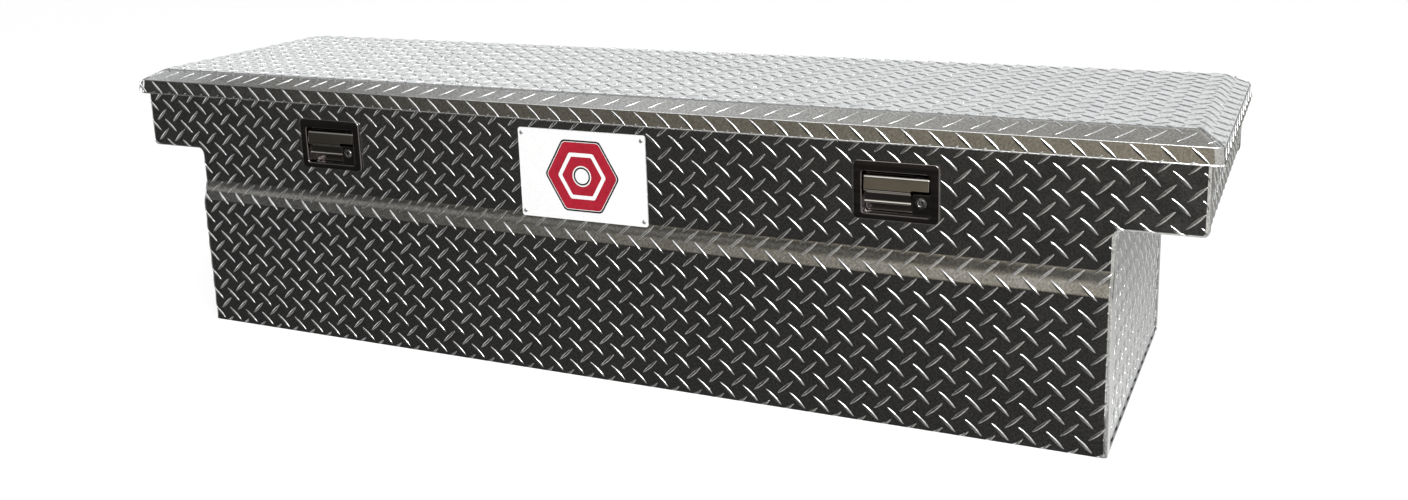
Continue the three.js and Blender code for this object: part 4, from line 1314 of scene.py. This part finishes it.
# ------------------------------------------------------------------ seal, pan and struts
low, high = span("lid_seal")
SEAL_HALF, SEAL_FOOT, BULB, SEAL_CORNER = 4.5, 1.6, 3.6, 16.5
tall = high[2] - low[2]
section = [(-SEAL_HALF, 0), (-SEAL_HALF, SEAL_FOOT)] + arc((0, tall - BULB), BULB, 200, -20, 10)
section += [(SEAL_HALF, SEAL_FOOT), (SEAL_HALF, 0)]
rings = []
for across, z in section:
    inset = SEAL_HALF - across
    box = (low[0] + inset, high[0] - inset, low[1] + inset, high[1] - inset)
    rings.append([(x, y, low[2] + z) for x, y in round_corners(*box, SEAL_CORNER - inset)])
seal = Shell()
ring_loft(seal, rings, True, True)
piece = seal.make("lid_bulb_seal", rubber, body_of_node("lid_seal"), ["lid_seal"], "rubber")
soften(piece, 40)

PAN_RIVET_ROWS = (-144, -96, 56, 104)  # along both edges of the two stiffeners
low, high = span("lid_pan")
pan = Shell()
prism(pan, round_corners(low[0], high[0], low[1], high[1], 9), "z", low[2], high[2], 0.4)
for y in PAN_RIVET_ROWS:
    for x in np.linspace(-700, 700, 13):
        turned(pan, (x, y, low[2]), (0, 0, -1), [(-0.2, 3.6)] + dome(3.6, 1.4), 16)
piece = pan.make("lid_inner_pan", mill, "lid", ["lid_pan"], "mill_aluminium")
soften(piece, 40)

TUBE_END, ROD_END = 183.0, 150.0
NECK, TUBE_RADIUS, ROD_RADIUS, PISTON = 4.6, 9.0, 4.0, 6.5
EYE_RADIUS, EYE_BORE = 8.5, 4.4
STRUT_PARTS = (
    ("tube", 1, satin_black, "black_coat", [
        (6, NECK), (17, NECK), (18, TUBE_RADIUS - 0.8), (18.8, TUBE_RADIUS), (TUBE_END - 3, TUBE_RADIUS),
        (TUBE_END - 0.6, TUBE_RADIUS - 0.6), (TUBE_END, 7.2)]),
    ("rod", -1, chrome, "steel", [
        (6, NECK), (16, NECK), (17, ROD_RADIUS), (ROD_END - 8, ROD_RADIUS), (ROD_END - 8, PISTON),
        (ROD_END, PISTON)]),
)
for side, _ in SIDES:
    studs = [joint_at(f"{side}_strut_{name}_pivot") for name in ("tube", "rod")]
    way = (studs[1] - studs[0]) / np.linalg.norm(studs[1] - studs[0])
    for at, (name, sense, look, slot, outline) in zip(studs, STRUT_PARTS):
        along = way * sense
        node = f"strut_{name}_{side}"
        piece = turning(at, along, outline, 32).make(
            f"gas_spring_{name}_{side}", look, f"{side}_strut_{name}", [node], slot)
        combine(piece, [turning(at - (5, 0, 0), ALONG_X, rounded_rod(10, EYE_RADIUS, 0.8), 32)], "UNION")
        holes = [rod(at - (20, 0, 0), ALONG_X, 40, EYE_BORE)]
        if name == "tube":
            holes.append(rod(at + along * 24, along, TUBE_END - 27, 7.5))
            holes.append(rod(at + along * (TUBE_END - 4), along, 8, NECK))
        combine(piece, holes)
        soften(piece)

# ------------------------------------------------------------------ looks of the CAD nodes that stay
CARRIED_OVER = (
    (mill, ("floor_panel", "lid_stiffener")),
    (steel, ("latch_hook", "hook_pin", "latch_bracket", "lock_cam", "striker", "strut_bracket")),
    (gloss_black, ("paddle_pin",)),
)
for look, starts in CARRIED_OVER:
    for name, node in frame["nodes"].items():
        if name.startswith(starts):
            node.data.materials.clear()
            node.data.materials.append(look)

# ------------------------------------------------------------------ floor, light and camera
bpy.ops.mesh.primitive_plane_add(size=14, location=(0, 0, 0))
floor = bpy.context.object
floor.name = "studio_floor"
floor_look = Nodes("studio_floor")
floor_look.set(
    Base_Color=(0.3, 0.3, 0.3, 1), Roughness=0.9, Emission_Color=(1, 1, 1, 1), Emission_Strength=0.72)
floor.data.materials.append(floor_look.material)
floor.visible_glossy = False

world = bpy.data.worlds.new("studio")
bpy.context.scene.world = world
world.use_nodes = True
tree = world.node_tree
for node in list(tree.nodes):
    tree.nodes.remove(node)


def world_node(kind, **inputs):
    node = tree.nodes.new(kind)
    for key, value in inputs.items():
        node.inputs[key.replace("_", " ")].default_value = value
    return node


def sky(stops):
    ramp = world_node("ShaderNodeValToRGB")
    elements = ramp.color_ramp.elements
    while len(elements) < len(stops):
        elements.new(0.5)
    for element, (z, color) in zip(elements, stops):
        element.position, element.color = (z + 1) / 2, (*color, 1)
    tree.links.new(height.outputs["Result"], ramp.inputs["Fac"])
    return ramp.outputs["Color"]


way = world_node("ShaderNodeTexCoord").outputs["Generated"]
axes = world_node("ShaderNodeSeparateXYZ")
tree.links.new(way, axes.inputs[0])
height = world_node("ShaderNodeMapRange", From_Min=-1, From_Max=1)
tree.links.new(axes.outputs["Z"], height.inputs["Value"])


def grey(*stops):
    """A sky of (height, brightness, warmth) stops."""
    return sky([
        (z, (v * (0.98 + 0.02 * warm), v * (1 - 0.1 * warm), v * (1 - 0.3 * warm))) for z, v, warm in stops])


def mixed(source, low, high, a, b):
    """One sky turning into another along a direction."""
    turn = world_node("ShaderNodeMapRange", From_Min=low, From_Max=high)
    tree.links.new(axes.outputs[source], turn.inputs["Value"])
    blend = tree.nodes.new("ShaderNodeMix")
    blend.data_type = "RGBA"
    tree.links.new(turn.outputs["Result"], blend.inputs["Factor"])
    tree.links.new(a, blend.inputs["A"])
    tree.links.new(b, blend.inputs["B"])
    return blend.outputs["Result"]


behind = grey((-1, .5, .2), (-.42, .85, .1), (-.3, .42, .1), (-.24, .2, .6), (-.12, .16, .5), (-.02, .7, 0),
              (.1, .91, 0), (.23, .91, 0), (.3, .4, 0), (.42, .16, 0), (.56, .3, 0), (.61, .8, 0),
              (.64, .8, 0), (.655, .08, .2), (.68, .2, .4), (.72, .28, .2), (.82, .6, .1), (.93, .33, .4),
              (1, .3, .2))
beside = grey((-1, .4, .2), (-.4, .5, .2), (-.05, .6, .2), (.1, .2, .1), (.5, .3, .1), (1, .3, .1))
before_left = grey(
    (-1, .8, .2), (-.85, .5, .2), (-.75, .15, .2), (-.62, .032, .2), (-.1, .028, .2), (.06, .05, .2),
    (.12, .08, .4), (.16, .26, .4), (.21, .26, .4), (.26, .08, .3), (.37, .04, 0), (.43, .6, 0),
    (.49, .6, 0), (.55, .12, 0), (.75, .12, 0), (.83, 1.3, 0), (.94, 1.3, 0), (1, .5, 0),
)
before_right = grey(
    (-1, .8, .2), (-.85, .5, .2), (-.75, .15, .2), (-.62, .034, .3), (-.2, .037, .3), (-.1, .3, 1),
    (.02, .3, 1), (.08, .06, .8), (.26, .06, .8), (.33, .3, 1), (.4, .3, 1), (.47, 1.0, .3),
    (.53, 2.4, 0), (.72, 2.4, 0), (.8, .9, 0), (.94, 1.3, 0), (1, .5, .2),
)
before_key = grey(
    (-1, .8, .2), (-.85, .6, .2), (-.5, .6, .3), (-.2, .7, .3), (.1, .55, .3), (.38, .55, .3),
    (.47, 1.8, 0), (.62, 1.8, 0), (.75, 2.4, 0), (.83, 2.4, 0), (.89, .6, 0), (1, .34, .2),
)
before = mixed("X", -0.05, 0.15, mixed("X", -0.7, -0.1, before_left, before_right), before_key)
surroundings = mixed("X", -0.95, -0.76, beside, mixed("Y", -0.05, 0.25, before, behind))
reflected = world_node("ShaderNodeBackground", Strength=1.0)
tree.links.new(surroundings, reflected.inputs["Color"])
seen = world_node("ShaderNodeBackground", Color=(0.99, 0.99, 0.99, 1), Strength=1.0)
choose = world_node("ShaderNodeMixShader")
tree.links.new(world_node("ShaderNodeLightPath").outputs["Is Camera Ray"], choose.inputs["Fac"])
tree.links.new(reflected.outputs[0], choose.inputs[1])
tree.links.new(seen.outputs[0], choose.inputs[2])
tree.links.new(choose.outputs[0], world_node("ShaderNodeOutputWorld").inputs["Surface"])


def softbox(name, place, target, size, power):
    light = bpy.data.lights.new(name, "AREA")
    light.shape, light.size, light.size_y = "RECTANGLE", size[0], size[1]
    light.energy = power
    lamp = bpy.data.objects.new(name, light)
    bpy.context.scene.collection.objects.link(lamp)
    lamp.location = place
    lamp.rotation_euler = (Vector(target) - Vector(place)).to_track_quat("-Z", "Y").to_euler()
    lamp.visible_camera = False
    return lamp


softbox("key", (1.6, -2.6, 2.0), (0, 0, 0.2), (1.6, 0.9), 70)
softbox("fill", (-3.5, -1.2, 0.5), (0, 0, 0.25), (0.9, 1.2), 4)
softbox("top", (0, 0.6, 3.0), (0, 0, 0.2), (3.0, 1.6), 25).visible_glossy = False

CAMERA_PLACE, CAMERA_ANGLES = (1.00326, -1.94352, 0.80804), (25.43, 12.69, -1.86)
azimuth, elevation, roll = (math.radians(angle) for angle in CAMERA_ANGLES)
level = math.cos(elevation)
back = Vector((math.sin(azimuth) * level, -math.cos(azimuth) * level, math.sin(elevation)))
right = Vector((math.cos(azimuth), math.sin(azimuth), 0))
up = back.cross(right)
rolled_right = right * math.cos(roll) + up * math.sin(roll)
rolled_up = up * math.cos(roll) - right * math.sin(roll)
lens = bpy.data.cameras.new("photo_camera")
lens.sensor_width, lens.lens, lens.shift_y = 36, 34.779, -0.0781
camera = bpy.data.objects.new("photo_camera", lens)
bpy.context.scene.collection.objects.link(camera)
turned_axes = Matrix((rolled_right, rolled_up, back)).transposed().to_4x4()
camera.matrix_world = Matrix.Translation(CAMERA_PLACE) @ turned_axes
bpy.context.scene.camera = camera
bpy.context.scene.view_settings.view_transform = "Standard"
